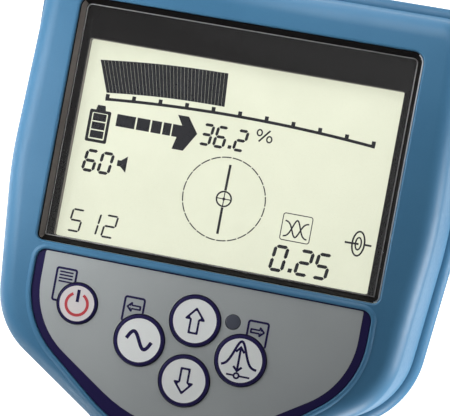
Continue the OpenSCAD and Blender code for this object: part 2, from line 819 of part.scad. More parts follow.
module case_screws() {
    color("silver") in_head() for (side = [-1, 1], v = [case_upper, case_lower])
        translate([side * case_x, v, seam_w(v) - case_post_gap - case_post_floor])
            screw(screw_r, screw_head_r, screw_head_height, case_post_floor + case_post_gap + case_bite);
}

module head_bolts() {
    color("silver") in_head() at_four(bolt_x, bolt_upper, bolt_lower)
        translate([0, 0, casing_wall - head_depth]) rotate([180, 0, 0])
            screw(screw_r, screw_head_r, screw_head_height, casing_wall + bolt_bite);
}

// The plane of the head's underside, and the neck's front and rear along it
under_point = head_point(0, -head_depth);
function under_z(y) = under_point[1] + (y - under_point[0]) * tan(head_tilt);
neck_front_y = under_point[0] + neck_front_reach * cos(head_tilt);
neck_rear_y = under_point[0] - neck_rear_reach * cos(head_tilt);
neck_height = under_z(-neck_half_depth) - neck_base;
function neck_front(t) = lerp(neck_half_depth, neck_front_y, pow(t, flare_power));
function neck_rear(t) = lerp(-neck_half_depth, neck_rear_y, pow(t, flare_power));
function neck_middle(t) = (neck_front(t) + neck_rear(t)) / 2;
function neck_reach(t) = (neck_front(t) - neck_rear(t)) / 2;
// A section of the neck, level at its base and on the head's underside at its top
function neck_ring(points, t) =
    [for (p = points)
        let (y = neck_middle(t) + p[1])
        [p[0], y, lerp(neck_base, under_z(y), t)]];
// Half width of the neck at a point of its middle plane, inside by inset
function neck_side(y, z, inset) =
    let (
        t = (z - neck_base) / (under_z(y) - neck_base),
        off = abs(y - neck_middle(t)) / (neck_reach(t) - inset)
    )
    (neck_half - inset) * pow(1 - pow(off, oval_power), 1 / oval_power);

// Places of the neck's screws along its depth and height
neck_screw_shares = [[0.6, 0.4], [-0.5, 0.5], [0.65, 1.06], [-1.03, 0.866]];
neck_screw_places = [for (s = neck_screw_shares) [s[0] * neck_half_depth, neck_base + s[1] * neck_height]];

// Speaker behind a round grille in the right shell
speaker_r = 14;
speaker_rim = 2.4;
magnet_r = 9;
magnet_height = 8;
gasket_width = 2.5;
gasket_thickness = 1;
speaker_share = 0.63;
grille_hole_r = 1.1;
grille_pitch = 4.2;
grille_rings = 2;
speaker_z = neck_base + speaker_share * neck_height;
speaker_y = neck_middle(speaker_share);
speaker_front = neck_side(speaker_y + speaker_r, speaker_z, shell_wall) - gasket_thickness - move_gap;

// Socket panel on the neck's front
panel_half = 15;
panel_half_height = 23;
panel_thickness = 7;
panel_recess = 2.2;
panel_face = neck_front((panel_z - neck_base) / (under_z(neck_half_depth) - neck_base)) - panel_recess;

// Blade's place in the neck
blade_top = neck_base + blade_overlap;
blade_bolt_y = 16;
blade_bolt_rise = 13;
blade_bolt_r = 2;
blade_bolt_head_r = 3.6;
blade_bolt_head_height = 2;
blade_bolt_sink = 1.2;
blade_bolt_z = neck_base + blade_bolt_rise;
blade_bolt_seat = neck_side(blade_bolt_y, blade_bolt_z, blade_bolt_sink);

// The right half of the neck, with a hole of the given radius in each screw boss
module neck_half_shell(hole_r) {
    difference() {
        union() {
            half_pipe([for (k = [0:neck_steps])
                let (t = k / neck_steps) neck_ring(half_oval(neck_half, neck_reach(t), shell_wall), t)]);
            for (p = neck_screw_places) translate([0, p[0], p[1]])
                bar_x(boss_r, 0, neck_side(p[0], p[1], shell_wall / 2));
            in_head() for (v = [bolt_upper, bolt_lower])
                translate([bolt_x, v, -head_depth - bolt_boss_length])
                    cylinder(r = bolt_boss_r, h = bolt_boss_length);
        }
        for (p = neck_screw_places) translate([0, p[0], p[1]])
            bar_x(hole_r, -cut, neck_side(p[0], p[1], shell_wall) - root_depth);
        in_head() for (v = [bolt_upper, bolt_lower]) translate([bolt_x, v, -head_depth - bolt_bite - cut])
            cylinder(r = screw_r + small_gap, h = bolt_bite + 2 * cut);
        translate([0, 0, arm_z]) bar_y(spigot_r + fit_gap, -neck_half_depth - cut, 0);
        translate([-panel_half - fit_gap, panel_face - panel_thickness - fit_gap,
            panel_z - panel_half_height - fit_gap])
            cube([2 * (panel_half + fit_gap), neck_half_depth, 2 * (panel_half_height + fit_gap)]);
        for (side = [-1, 1]) translate([0, side * blade_bolt_y, blade_bolt_z]) {
            bar_x(blade_bolt_r + fit_gap, 0, neck_half + cut);
            bar_x(blade_bolt_head_r + fit_gap, blade_bolt_seat, neck_half + cut);
        }
    }
}

module left_neck_shell() {
    color("steelblue") mirror([1, 0, 0]) neck_half_shell(screw_r + small_gap);
}

module right_neck_shell() {
    color("steelblue") difference() {
        neck_half_shell(screw_r + screw_gap);
        for (p = neck_screw_places) translate([0, p[0], p[1]])
            bar_x(screw_head_r + counterbore_gap,
                neck_side(p[0], p[1], shell_wall) - root_depth, neck_half + cut);
        translate([0, speaker_y, speaker_z]) {
            bar_x(grille_hole_r, 0, neck_half + cut);
            for (ring = [1:grille_rings], i = [0:6 * ring - 1]) rotate([360 * i / (6 * ring), 0, 0])
                translate([0, ring * grille_pitch, 0]) bar_x(grille_hole_r, speaker_front, neck_half + cut);
        }
    }
}

module neck_screws() {
    color("silver") for (p = neck_screw_places)
        translate([neck_side(p[0], p[1], shell_wall) - root_depth, p[0], p[1]]) rotate([0, -90, 0])
            screw(screw_r, screw_head_r, screw_head_height,
                neck_side(p[0], p[1], shell_wall) - root_depth + screw_bite);
}

module speaker() {
    color("dimgray") translate([0, speaker_y, speaker_z]) {
        bar_x(speaker_r, speaker_front - speaker_rim, speaker_front);
        bar_x(magnet_r, speaker_front - speaker_rim - magnet_height, speaker_front);
    }
}

module speaker_gasket() {
    color("black") translate([0, speaker_y, speaker_z]) difference() {
        bar_x(speaker_r, speaker_front, speaker_front + gasket_thickness);
        bar_x(speaker_r - gasket_width, speaker_front - cut, speaker_front + gasket_thickness + cut);
    }
}

// Sockets: a flange on the panel's face and a barrel through it
accessory_rise = 11;
accessory_wall = 1.6;
accessory_flange = 2.6;
flange_height = 1.6;
barrel_floor = 3;
jack_fall = 12;
jack_wall = 2.2;
jack_flange = 3;
panel_r = 3;

module socket_panel() {
    color("dimgray") difference() {
        translate([0, panel_face, panel_z]) rotate([90, 0, 0]) plate(
            outline([[panel_half, panel_half_height], [-panel_half, panel_half_height],
                [-panel_half, -panel_half_height], [panel_half, -panel_half_height]],
                [panel_r, panel_r, panel_r, panel_r], 0, 1),
            0, panel_thickness);
        translate([0, 0, panel_z + accessory_rise])
            bar_y(accessory_r + accessory_wall + fit_gap,
                panel_face - panel_thickness - cut, panel_face + cut);
        translate([0, 0, panel_z - jack_fall])
            bar_y(jack_r + jack_wall + fit_gap, panel_face - panel_thickness - cut, panel_face + cut);
    }
}

// A socket with its mouth towards +Y
module socket(r, wall, flange, depth) {
    difference() {
        union() {
            bar_y(r + wall, panel_face + flange_height - depth - barrel_floor, panel_face + flange_height);
            bar_y(r + wall + flange, panel_face, panel_face + flange_height);
        }
        bar_y(r, panel_face + flange_height - depth, panel_face + flange_height + cut);
    }
}

module accessory_socket() {
    color("silver") translate([0, 0, panel_z + accessory_rise])
        socket(accessory_r, accessory_wall, accessory_flange, accessory_depth);
}

module headphone_socket() {
    color("black") translate([0, 0, panel_z - jack_fall]) socket(jack_r, jack_wall, jack_flange, jack_depth);
}

// The handle's line, from the collar over the grip and down the rear post to the battery arm
bend_steps = 8;
handle_start = head_point(-head_end_drop - collar_length, -handle_depth);
grip_bend = handle_start - grip_lead * [cos(head_tilt), sin(head_tilt)];
post_top = [-post_back, grip_bend[1] - (grip_bend[0] + post_back) * tan(grip_slope)];
post_foot = [-post_back, arm_z];
front_bend = corner(handle_start, grip_bend, post_top, grip_bend_r, 0, bend_steps);
rear_bend = corner(grip_bend, post_top, post_foot, post_bend_r, 0, bend_steps);
handle_line = concat([handle_start], front_bend, rear_bend, [post_foot]);
function line_way(i) = unit(handle_line[min(i + 1, len(handle_line) - 1)] - handle_line[max(i - 1, 0)]);
function line_half(i) = i == 0 ? root_half : grip_half;
function line_half_height(i) = i == 0 ? root_half_height : grip_half_height;

// Handle screws: one before the grip, one on the rear bend and one on the post
front_screw_share = 0.5;
handle_bite = 10;
post_screw_share = 0.3;
handle_screw_places = [
    lerp(handle_start, front_bend[0], front_screw_share),
    rear_bend[bend_steps / 2],
    lerp(rear_bend[bend_steps], post_foot, post_screw_share)
];
handle_screw_halves = [lerp(root_half, grip_half, front_screw_share), grip_half, grip_half];
function handle_seat(i) = handle_screw_halves[i] - shell_wall - root_depth;
module at_handle_screw(i) {
    translate([0, handle_screw_places[i][0], handle_screw_places[i][1]]) children();
}

// The right half of the handle, with a hole of the given radius in each screw boss
module handle_half_shell(hole_r) {
    difference() {
        union() {
            half_pipe([for (i = [0:len(handle_line) - 1])
                across(half_oval(line_half(i), line_half_height(i), shell_wall),
                    handle_line[i], line_way(i))]);
            for (i = [0:len(handle_screw_places) - 1]) at_handle_screw(i)
                bar_x(boss_r, 0, handle_screw_halves[i] - shell_wall / 2);
        }
        for (i = [0:len(handle_screw_places) - 1]) at_handle_screw(i) bar_x(hole_r, -cut, handle_seat(i));
        translate([0, 0, arm_z]) bar_y(arm_r, -arm_end, -neck_half_depth);
    }
}

module left_handle_shell() {
    color("steelblue") mirror([1, 0, 0]) handle_half_shell(screw_r + small_gap);
}

module right_handle_shell() {
    color("steelblue") difference() {
        handle_half_shell(screw_r + screw_gap);
        for (i = [0:len(handle_screw_places) - 1]) at_handle_screw(i)
            bar_x(screw_head_r + counterbore_gap, handle_seat(i), root_half + cut);
    }
}

module handle_screws() {
    color("silver") for (i = [0:len(handle_screw_places) - 1]) at_handle_screw(i)
        translate([handle_seat(i), 0, 0]) rotate([0, -90, 0])
            screw(screw_r, screw_head_r, screw_head_height, handle_seat(i) + handle_bite);
}

// A ring of the collar, square to the head's end
collar_lip = 1.5;
function collar_ring(grow, along) = across(
    oval(root_half + grow, root_half_height + grow),
    head_point(-head_end_drop - along, -handle_depth), line_way(0)
);

module handle_collar() {
    color("black") pipe([collar_ring(collar_lip, 0), collar_ring(collar_lip, collar_length)],
        [collar_ring(-shell_wall, 0), collar_ring(-shell_wall, collar_length)]);
}

// The sleeve follows the grip, from the start of its front bend to just before the rear bend
sleeve_end_share = 0.94;
sleeve_turns = bend_steps + 1;
function sleeve_section(i, grow) = across(
    oval(grip_half + grow, grip_half_height + grow), handle_line[i], line_way(i)
);
function sleeve_rings(grow) = concat(
    [for (i = [1:sleeve_turns]) sleeve_section(i, grow)],
    [lerp(sleeve_section(sleeve_turns, grow), sleeve_section(sleeve_turns + 1, grow), sleeve_end_share)]
);

module grip_sleeve() {
    color("darkslategray") pipe(sleeve_rings(sleeve_thickness), sleeve_rings(0));
}

// Battery arm: a tube for two cells in line, with a spigot into the neck and ears for the door
arm_rear = -arm_end;
collar_depth = 7;
arm_front = -neck_half_depth - collar_depth;
cell_gap = 0.9;
cell_start = 8;
cell_seat_gap = 0.2;
contact_thickness = 0.6;
bulkhead = 4;
wire_r = 4;
bore_r = cell_r + cell_gap;
cells_rear = arm_rear + cell_start;
cells_front = cells_rear + 2 * cell_length + cell_seat_gap;
bulkhead_rear = cells_front + cell_seat_gap + contact_thickness;
nut_r = 17;
nut_length = 4.2;
nut_off_share = nut_r / (neck_half - shell_wall);
nut_wall_share = pow(1 - pow(nut_off_share, oval_power), 1 / oval_power);
nut_start = (shell_wall - neck_reach(0)) * nut_wall_share + move_gap;
spigot_end = nut_start + nut_length + root_depth;

// Hinge and stud of the battery door
hinge_back = 3;
door_gap = 0.4;
barrel_half = 8;
ear_width = 5;
ear_depth = 12;
ear_rise = 6;
plug_gap = 0.7;
plug_length = 3;
tab_half = 7;
catch_depth = 6;
stud_bite = 3;
stud_play = 0.6;
stud_head_r = 5.5;
stud_head_height = 3;
slot_half = 0.8;
slot_depth = 1.2;
hinge_y = arm_rear - hinge_back;
hinge_z = arm_z - hinge_drop;
door_front = arm_rear - door_gap;
door_rear = door_front - door_thickness;
stud_z = arm_z + stud_rise;

// A tab that rises from the arm's wall to round the stud
module stud_tab(from, to) {
    translate([0, 0, stud_z]) bar_y(tab_half, from, to);
    translate([-tab_half, from, arm_z + bore_r]) cube([2 * tab_half, to - from, stud_rise - bore_r]);
}

module battery_arm() {
    color("steelblue") difference() {
        union() {
            translate([0, 0, arm_z]) {
                bar_y(arm_r, arm_rear, arm_front);
                bar_y(spigot_r, arm_front, spigot_end);
            }
            for (side = [-1, 1]) {
                middle = side * (barrel_half + move_gap + ear_width / 2);
                translate([middle, hinge_y, hinge_z]) bar_x(barrel_r, -ear_width / 2, ear_width / 2);
                translate([middle - ear_width / 2, hinge_y, hinge_z - barrel_r])
                    cube([ear_width, hinge_back, 2 * barrel_r]);
                translate([middle - ear_width / 2, arm_rear, hinge_z - barrel_r])
                    cube([ear_width, ear_depth, 2 * barrel_r + ear_rise]);
            }
            stud_tab(arm_rear, arm_rear + catch_depth);
        }
        translate([0, 0, arm_z]) {
            bar_y(bore_r, arm_rear - cut, bulkhead_rear);
            bar_y(bore_r, bulkhead_rear + bulkhead, arm_front - bulkhead);
            bar_y(wire_r, arm_front - bulkhead - cut, spigot_end + cut);
        }
        translate([0, hinge_y, hinge_z])
            bar_x(pin_r, -barrel_half - 2 * ear_width, barrel_half + 2 * ear_width);
        translate([0, 0, stud_z]) bar_y(stud_r + stud_play, arm_rear - cut, arm_rear + stud_bite + cut);
    }
}

module neck_solid() {
    loft([for (k = [0:neck_steps]) let (t = k / neck_steps) neck_ring(oval(neck_half, neck_reach(t)), t)],
        [0, 0, neck_base], [0, neck_middle(1), under_z(neck_middle(1))]);
}

module arm_collar() {
    color("black") difference() {
        translate([0, 0, arm_z]) bar_y(arm_r, arm_front, 0);
        neck_solid();
        translate([0, 0, arm_z]) bar_y(spigot_r + fit_gap, arm_front - cut, cut);
    }
}

module arm_nut() {
    color("silver") translate([0, 0, arm_z]) difference() {
        bar_y(nut_r, nut_start, nut_start + nut_length);
        bar_y(spigot_r + fit_gap, nut_start - cut, nut_start + nut_length + cut);
    }
}

// Seal groove in the door's inner face
groove_inset = 1;
groove_width = 2.4;
groove_depth = 1;
seal_rise = 0.3;
groove_r = arm_r - groove_inset;

module battery_door() {
    color("steelblue") difference() {
        union() {
            translate([0, 0, arm_z]) {
                bar_y(arm_r, door_rear, door_front);
                bar_y(bore_r - plug_gap, door_front, door_front + door_gap + plug_length);
            }
            translate([0, hinge_y, hinge_z]) bar_x(barrel_r, -barrel_half, barrel_half);
            translate([-barrel_half, door_rear, hinge_z])
                cube([2 * barrel_half, door_thickness, hinge_drop - arm_r + barrel_r]);
            stud_tab(door_rear, door_front);
        }
        translate([0, hinge_y, hinge_z]) bar_x(pin_r + pin_gap, -barrel_half - cut, barrel_half + cut);
        translate([0, 0, stud_z]) bar_y(stud_r + pin_gap, door_rear - cut, door_front + cut);
        translate([0, 0, arm_z]) difference() {
            bar_y(groove_r, door_front - groove_depth, door_front + cut);
            bar_y(groove_r - groove_width, door_front - groove_depth - cut, door_front + 2 * cut);
        }
    }
}

module door_seal() {
    color("black") translate([0, 0, arm_z]) difference() {
        bar_y(groove_r - fit_gap, door_front - groove_depth, door_front + seal_rise);
        bar_y(groove_r - groove_width + fit_gap,
            door_front - groove_depth - cut, door_front + seal_rise + cut);
    }
}

// Spring contact on the door's plug, and the plate at the front of the cells
contact_r = 9;
nub_r = 4;

module door_contact() {
    plug_front = door_front + door_gap + plug_length;
    color("gold") translate([0, 0, arm_z]) {
        bar_y(contact_r, plug_front, plug_front + contact_thickness);
        bar_y(nub_r, plug_front, cells_rear - move_gap);
    }
}

module cell_contact() {
    color("gold") translate([0, 0, arm_z]) bar_y(contact_r, bulkhead_rear - contact_thickness, bulkhead_rear);
}

module door_stud() {
    color("silver") translate([0, 0, stud_z]) difference() {
        union() {
            bar_y(stud_head_r, door_rear - stud_head_height - fit_gap, door_rear - fit_gap);
            bar_y(stud_r, door_rear - stud_head_height, arm_rear + stud_bite);
        }
        translate([-stud_head_r - cut, door_rear - stud_head_height - fit_gap - cut, -slot_half])
            cube([2 * (stud_head_r + cut), slot_depth + cut, 2 * slot_half]);
    }
}

module hinge_pin() {
    pin_half = barrel_half + move_gap + ear_width;
    color("silver") translate([0, hinge_y, hinge_z]) bar_x(pin_r, -pin_half, pin_half);
}

// A cell is a can with a small button on its front end
button_r = 4.7;
button_height = 1.5;

module battery_cells() {
    color("goldenrod") translate([0, 0, arm_z]) for (i = [0, 1]) {
        rear = cells_rear + i * (cell_length + cell_seat_gap);
        bar_y(cell_r, rear, rear + cell_length - button_height);
        bar_y(button_r, rear, rear + cell_length);
    }
}

// Blade: a tapered oval tube
function blade_share(z) = (z - blade_bottom) / (blade_top - blade_bottom);
function blade_half(z) = lerp(blade_half_bottom, blade_half_top, blade_share(z));
function blade_reach(z) = lerp(blade_depth_bottom, blade_depth_top, blade_share(z));
function blade_ring(z, grow) = level(oval(blade_half(z) + grow, blade_reach(z) + grow), z);

// Screws of the foot, on the blade's two sides
boot_screw_fall = 12;
boot_screw_sink = 2;
boot_screw_length = 7;
boot_screw_z = foot_height - boot_screw_fall;
boot_seat = blade_half(boot_screw_z) + foot_wall - boot_screw_sink;

module blade_tube() {
    color("steelblue") difference() {
        pipe([blade_ring(blade_bottom, 0), blade_ring(blade_top, 0)],
            [blade_ring(blade_bottom, -blade_wall), blade_ring(blade_top, -blade_wall)]);
        for (side = [-1, 1]) translate([0, side * blade_bolt_y, blade_bolt_z])
            bar_x(blade_bolt_r + fit_gap, -neck_half, neck_half);
        translate([0, 0, boot_screw_z]) bar_x(screw_r + small_gap, -neck_half, neck_half);
    }
}

// The seal fills the neck's mouth round the blade
mouth_depth = 8;
mouth_inset = shell_wall + fit_gap;
function mouth_ring(z) = level(oval(neck_half - mouth_inset, neck_half_depth - mouth_inset), z);

module blade_seal() {
    color("black") pipe([mouth_ring(neck_base), mouth_ring(neck_base + mouth_depth)],
        [blade_ring(neck_base, fit_gap), blade_ring(neck_base + mouth_depth, fit_gap)]);
}

module blade_bolts() {
    color("silver") for (side = [-1, 1]) translate([0, side * blade_bolt_y, blade_bolt_z]) {
        bar_x(blade_bolt_r, -blade_bolt_seat, blade_bolt_seat);
        bar_x(blade_bolt_head_r, blade_bolt_seat, blade_bolt_seat + blade_bolt_head_height);
        bar_x(blade_bolt_head_r, -blade_bolt_seat - blade_bolt_head_height, -blade_bolt_seat);
    }
}

// Antenna board upright in the blade, with rods and coils: lower and upper across, one upright between
mast_half = 17;
mast_clear = 6;
mast_low = blade_bottom + mast_clear;
mast_high = blade_bolt_z - mast_clear;
core_r = 4;
core_end_gap = 1;
coil_r = 7.5;
coil_gap = 0.05;
coil_half = 11;
lower_core_rise = 30;
upper_core_fall = 34;
upright_rise = 110;
upright_half = 30;
upright_coil_r = 6.6;
upright_coil_half = 22;
lower_core_z = blade_bottom + lower_core_rise;
upper_core_z = blade_top - upper_core_fall;
upright_z = blade_bottom + upright_rise;
upright_x = board_thickness / 2 + move_gap + upright_coil_r;

module antenna_board() {
    color("darkgreen") difference() {
        translate([-board_thickness / 2, -mast_half, mast_low])
            cube([board_thickness, 2 * mast_half, mast_high - mast_low]);
        for (z = [lower_core_z, upper_core_z]) translate([0, 0, z]) bar_x(coil_r + fit_gap, -cut, cut);
    }
}

// Guides between the board's edges and the blade's front and rear walls
guide_half = 4;
guide_height = 12;
guide_gap = 0.2;
guide_shares = [0.15, 0.5, 0.85];
guide_inset = blade_wall + guide_gap;

module board_guides() {
    color("dimgray") for (share = guide_shares, side = [-1, 1]) {
        z = lerp(mast_low, mast_high, share);
        reach = blade_reach(z) - guide_inset;
        near = mast_half - guide_half;
        difference() {
            translate([-guide_half, side > 0 ? near : -reach, z])
                cube([2 * guide_half, reach - near, guide_height]);
            translate([-board_thickness / 2 - fit_gap, -mast_half - fit_gap, z - cut])
                cube([board_thickness + 2 * fit_gap, 2 * (mast_half + fit_gap), guide_height + 2 * cut]);
            difference() {
                translate([-neck_half, -neck_half_depth, z - cut])
                    cube([2 * neck_half, 2 * neck_half_depth, guide_height + 2 * cut]);
                loft([blade_ring(blade_bottom, -guide_inset), blade_ring(blade_top, -guide_inset)],
                    [0, 0, blade_bottom], [0, 0, blade_top]);
            }
        }
    }
}

module antenna_cores() {
    color("dimgray") {
        for (z = [lower_core_z, upper_core_z]) {
            reach = blade_half(z) - blade_wall - core_end_gap;
            translate([0, 0, z]) bar_x(core_r, -reach, reach);
        }
        translate([upright_x, 0, upright_z - upright_half]) cylinder(r = core_r, h = 2 * upright_half);
    }
}

module antenna_coils() {
    color("peru") {
        for (z = [lower_core_z, upper_core_z]) translate([0, 0, z]) difference() {
            bar_x(coil_r, -coil_half, coil_half);
            bar_x(core_r + coil_gap, -coil_half - cut, coil_half + cut);
        }
        translate([upright_x, 0, upright_z - upright_coil_half]) difference() {
            cylinder(r = upright_coil_r, h = 2 * upright_coil_half);
            translate([0, 0, -cut]) cylinder(r = core_r + coil_gap, h = 2 * (upright_coil_half + cut));
        }
    }
}

// Rubber foot: a cup with a rounded sole
sole_run = 4;
sole_height = 4;
sole_steps = 3;
function sole_ring(angle) =
    level(oval(blade_half(blade_bottom) + foot_wall - sole_run * (1 - cos(angle)),
        blade_reach(blade_bottom) + foot_wall - sole_run * (1 - cos(angle))), sole_height * (1 - sin(angle)));

module foot_boot() {
    color("darkslategray") difference() {
        cup(
            concat([backwards(blade_ring(foot_height, foot_wall))],
                [for (k = [0:sole_steps]) backwards(sole_ring(90 * k / sole_steps))]),
            [backwards(blade_ring(foot_height, fit_gap)), backwards(blade_ring(blade_bottom, fit_gap))],
            [0, 0, 0], [0, 0, blade_bottom]);
        translate([0, 0, boot_screw_z]) {
            bar_x(screw_r + screw_gap, -neck_half - foot_wall, neck_half + foot_wall);
            for (side = [0, 1]) mirror([side, 0, 0])
                bar_x(screw_head_r + counterbore_gap, boot_seat, neck_half + foot_wall);
        }
    }
}

module boot_screws() {
    color("silver") translate([0, 0, boot_screw_z]) for (side = [0, 1]) mirror([side, 0, 0])
        translate([boot_seat, 0, 0]) rotate([0, -90, 0])
            screw(screw_r, screw_head_r, screw_head_height, boot_screw_length);
}

top_casing();
lower_casing();
casing_seal();
window_frame();
display_lens();
screen_glass();
backlight_panel();
display_carrier();
display_screws();
main_board();
board_chips();
board_screws();
keypad_sheet();
power_key();
frequency_key();
up_key();
down_key();
peak_key();
light_sensor();
key_domes();
keypad_board();
keypad_screws();
case_screws();
head_bolts();
handle_collar();
left_neck_shell();
right_neck_shell();
neck_screws();
speaker();
speaker_gasket();
socket_panel();
accessory_socket();
headphone_socket();
left_handle_shell();
right_handle_shell();
handle_screws();
grip_sleeve();
battery_arm();
arm_collar();
arm_nut();
battery_door();
door_seal();
door_contact();
door_stud();
hinge_pin();
battery_cells();
cell_contact();
blade_tube();
blade_seal();
blade_bolts();
antenna_board();
board_guides();
antenna_cores();
antenna_coils();
foot_boot();
boot_screws();
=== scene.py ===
"""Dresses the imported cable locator: head, display, keypad, neck, handle, battery arm, blade and foot.

Sizes are millimetres in the frame of each sub-assembly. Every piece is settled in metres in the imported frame.
The floor, the lamps' sizes and the grain's relief are in metres, and the lamps' powers are in watts.
"""

import json
import logging
import math
from collections.abc import Callable, Sequence
from dataclasses import dataclass
from enum import Enum
from functools import cache

import bmesh
import bpy
from mathutils import Euler, Matrix, Vector


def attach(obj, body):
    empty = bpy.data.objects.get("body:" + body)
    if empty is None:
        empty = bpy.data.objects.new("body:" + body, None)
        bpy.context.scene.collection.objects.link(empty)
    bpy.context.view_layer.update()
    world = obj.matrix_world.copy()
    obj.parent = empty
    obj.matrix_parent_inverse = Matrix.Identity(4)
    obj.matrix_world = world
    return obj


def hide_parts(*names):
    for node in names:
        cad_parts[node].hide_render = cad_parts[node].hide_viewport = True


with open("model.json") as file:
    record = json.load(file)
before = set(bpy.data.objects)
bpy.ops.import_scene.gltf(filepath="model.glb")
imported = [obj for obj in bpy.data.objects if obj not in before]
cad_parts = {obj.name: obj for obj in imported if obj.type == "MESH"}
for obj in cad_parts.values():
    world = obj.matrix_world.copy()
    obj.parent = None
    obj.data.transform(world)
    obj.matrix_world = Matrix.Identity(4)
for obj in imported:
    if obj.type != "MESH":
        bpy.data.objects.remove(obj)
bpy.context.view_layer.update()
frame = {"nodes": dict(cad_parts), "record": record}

Flat = tuple[float, float]
Spot = tuple[float, float, float]
Ring = list[Spot]
Mark = list[list[Flat]]
Colour = tuple[int, int, int]
Piece = bpy.types.Object
Edge = bmesh.types.BMEdge
Material = bpy.types.Material
Tree = bpy.types.NodeTree
Node = bpy.types.Node
Socket = bpy.types.NodeSocket
Inputs = dict[str | int, Socket | float | tuple[float, ...]]

LOG = logging.getLogger("cable_locator")
SLOTS: dict[str, str] = {part["node"]: part["material_slot"] for part in frame["record"]["subparts"]}
MM = 0.001
HEAD_TILT = math.radians(36.0)
HEAD_PLACE = Matrix.Translation((0.0, -8.0, 616.0)) @ Matrix.Rotation(HEAD_TILT, 4, "X")
BODY_PLACE = Matrix.Identity(4)
QUARTER = math.pi / 2
OVAL_POWER = 2.6
LEAST_ROUND = 0.3
MERGE_GAP = 0.0005
SHARP_ANGLE = math.radians(30.0)
NODE_SHARP_ANGLE = math.radians(35.0)
NODE_FLAT_ANGLE = 0.6
NODE_MERGE = 2e-6
SCREW_ROUND = 0.3
MITRE_LIMIT = 0.5
OUTLINE_CHORDS = 5
TINY = 1e-6
SPLIT_GAP = 1e-4
# How far a cutter passes the skin that it opens, and starts inside the wall that it enters
OVERRUN = 2.0
BITE = 1.0


class Ends(Enum):
    """How the first and last rings of a loft are closed."""

    CAPPED = "capped"
    LOOPED = "looped"


class Cut(Enum):
    """What a Boolean keeps."""

    AWAY = "DIFFERENCE"
    SHARED = "INTERSECT"
    JOINED = "UNION"


class Side(Enum):
    """A half of a shell that parts on the middle plane."""

    LEFT = -1
    RIGHT = 1


class Smooth(Enum):
    """The angle in degrees up to which the faces of a piece are smoothed."""

    CRISP = 20.0
    FIRM = 25.0
    EVEN = 32.0
    ROUND = 40.0
    SOFT = 50.0


class Grain(Enum):
    """The kind of surface that a finish shows."""

    MOULDED = "moulded_grain"
    DRAWN = "drawn_metal"


def lerp(a: float, b: float, t: float) -> float:
    """Gives the value a share t of the way from a to b."""
    return a + (b - a) * t


def between(a: Flat, b: Flat, t: float) -> Flat:
    """Gives the point a share t of the way from a to b."""
    return lerp(a[0], b[0], t), lerp(a[1], b[1], t)


def ease(t: float) -> float:
    """Gives a smooth step of t, held to the range 0 to 1."""
    t = min(1.0, max(0.0, t))
    return t * t * (3 - 2 * t)


def shares(count: int, whole: float = 1.0) -> list[float]:
    """Gives the values from 0 to a whole in equal steps."""
    return [whole * k / count for k in range(count + 1)]


def corner_arc(before: Flat, at: Flat, after: Flat, radius: float, inset: float, steps: int) -> list[Flat]:
    """Rounds one corner of an outline that runs anticlockwise.

    Args:
        before: The corner before this one.
        at: The corner itself.
        after: The corner after this one.
        radius: Radius of the rounding.
        inset: How far the outline is moved in.
        steps: Chords on the arc.

    Returns:
        The points of the arc.
    """
    spot = Vector(at)
    a = (Vector(before) - spot).normalized()
    b = (Vector(after) - spot).normalized()
    half = math.acos(max(-1.0, min(1.0, a.dot(b)))) / 2
    cross = -a.x * b.y + a.y * b.x
    if cross > 0:
        radius = max(radius, inset + LEAST_ROUND)
    middle = spot + (a + b).normalized() * radius / math.sin(half)
    reach = radius - inset if cross > 0 else radius + inset
    first = spot + a * radius / math.tan(half) - middle
    last = spot + b * radius / math.tan(half) - middle
    start = math.atan2(first.y, first.x)
    sweep = (math.atan2(last.y, last.x) - start + math.pi) % (2 * math.pi) - math.pi
    turns = [start + sweep * i / steps for i in range(steps + 1)]
    return [(middle.x + reach * math.cos(turn), middle.y + reach * math.sin(turn)) for turn in turns]


def rounded(
    points: Sequence[Flat], radii: Sequence[float], inset: float = 0.0, steps: int = 10, parts: int = 1
) -> list[Flat]:
    """Rounds every corner of a closed outline.

    Args:
        points: The corners, anticlockwise.
        radii: The radius at each corner.
        inset: How far the outline is moved in.
        steps: Chords on each arc.
        parts: Parts of each straight edge.

    Returns:
        The points of the rounded outline.
    """
    corners = zip(points[-1:] + points[:-1], points, points[1:] + points[:1], radii)
    arcs = [corner_arc(before, at, after, radius, inset, steps) for before, at, after, radius in corners]
    loop: list[Flat] = []
    for arc, following in zip(arcs, arcs[1:] + arcs[:1]):
        loop += arc
        loop += [between(arc[-1], following[0], t) for t in shares(parts)[1:-1]]
    return loop


def oval_point(a: float, b: float, angle: float) -> Flat:
    """Gives a point of a squared oval with half axes a and b at an angle in radians."""
    sides = ((a, math.cos(angle)), (b, math.sin(angle)))
    return tuple(half * math.copysign(abs(side) ** (2 / OVAL_POWER), side) for half, side in sides)


def oval(a: float, b: float, count: int = 72) -> list[Flat]:
    """Gives a closed squared oval with half axes a and b."""
    return [oval_point(a, b, 2 * math.pi * i / count - QUARTER) for i in range(count)]


def half_oval(a: float, b: float, wall: float, steps: int = 32) -> list[Flat]:
    """Gives the right half of a squared oval, out along its outside and back along its inside.

    Args:
        a: Half width outside.
        b: Half height outside.
        wall: Thickness of the wall.
        steps: Chords on each side.

    Returns:
        The closed outline of the wall's section.
    """
    turns = [math.pi * i / steps - QUARTER for i in range(steps + 1)]
    outside = [oval_point(a, b, turn) for turn in turns]
    return outside + [oval_point(a - wall, b - wall, -turn) for turn in turns]


def circle(radius: float, count: int = 48) -> list[Flat]:
    """Gives a closed circle about zero."""
    turns = [2 * math.pi * i / count for i in range(count)]
    return [(radius * math.cos(turn), radius * math.sin(turn)) for turn in turns]


def oblong(low: Flat, high: Flat) -> list[Flat]:
    """Gives the corners of an upright oblong between two opposite corners."""
    return [low, (high[0], low[1]), high, (low[0], high[1])]


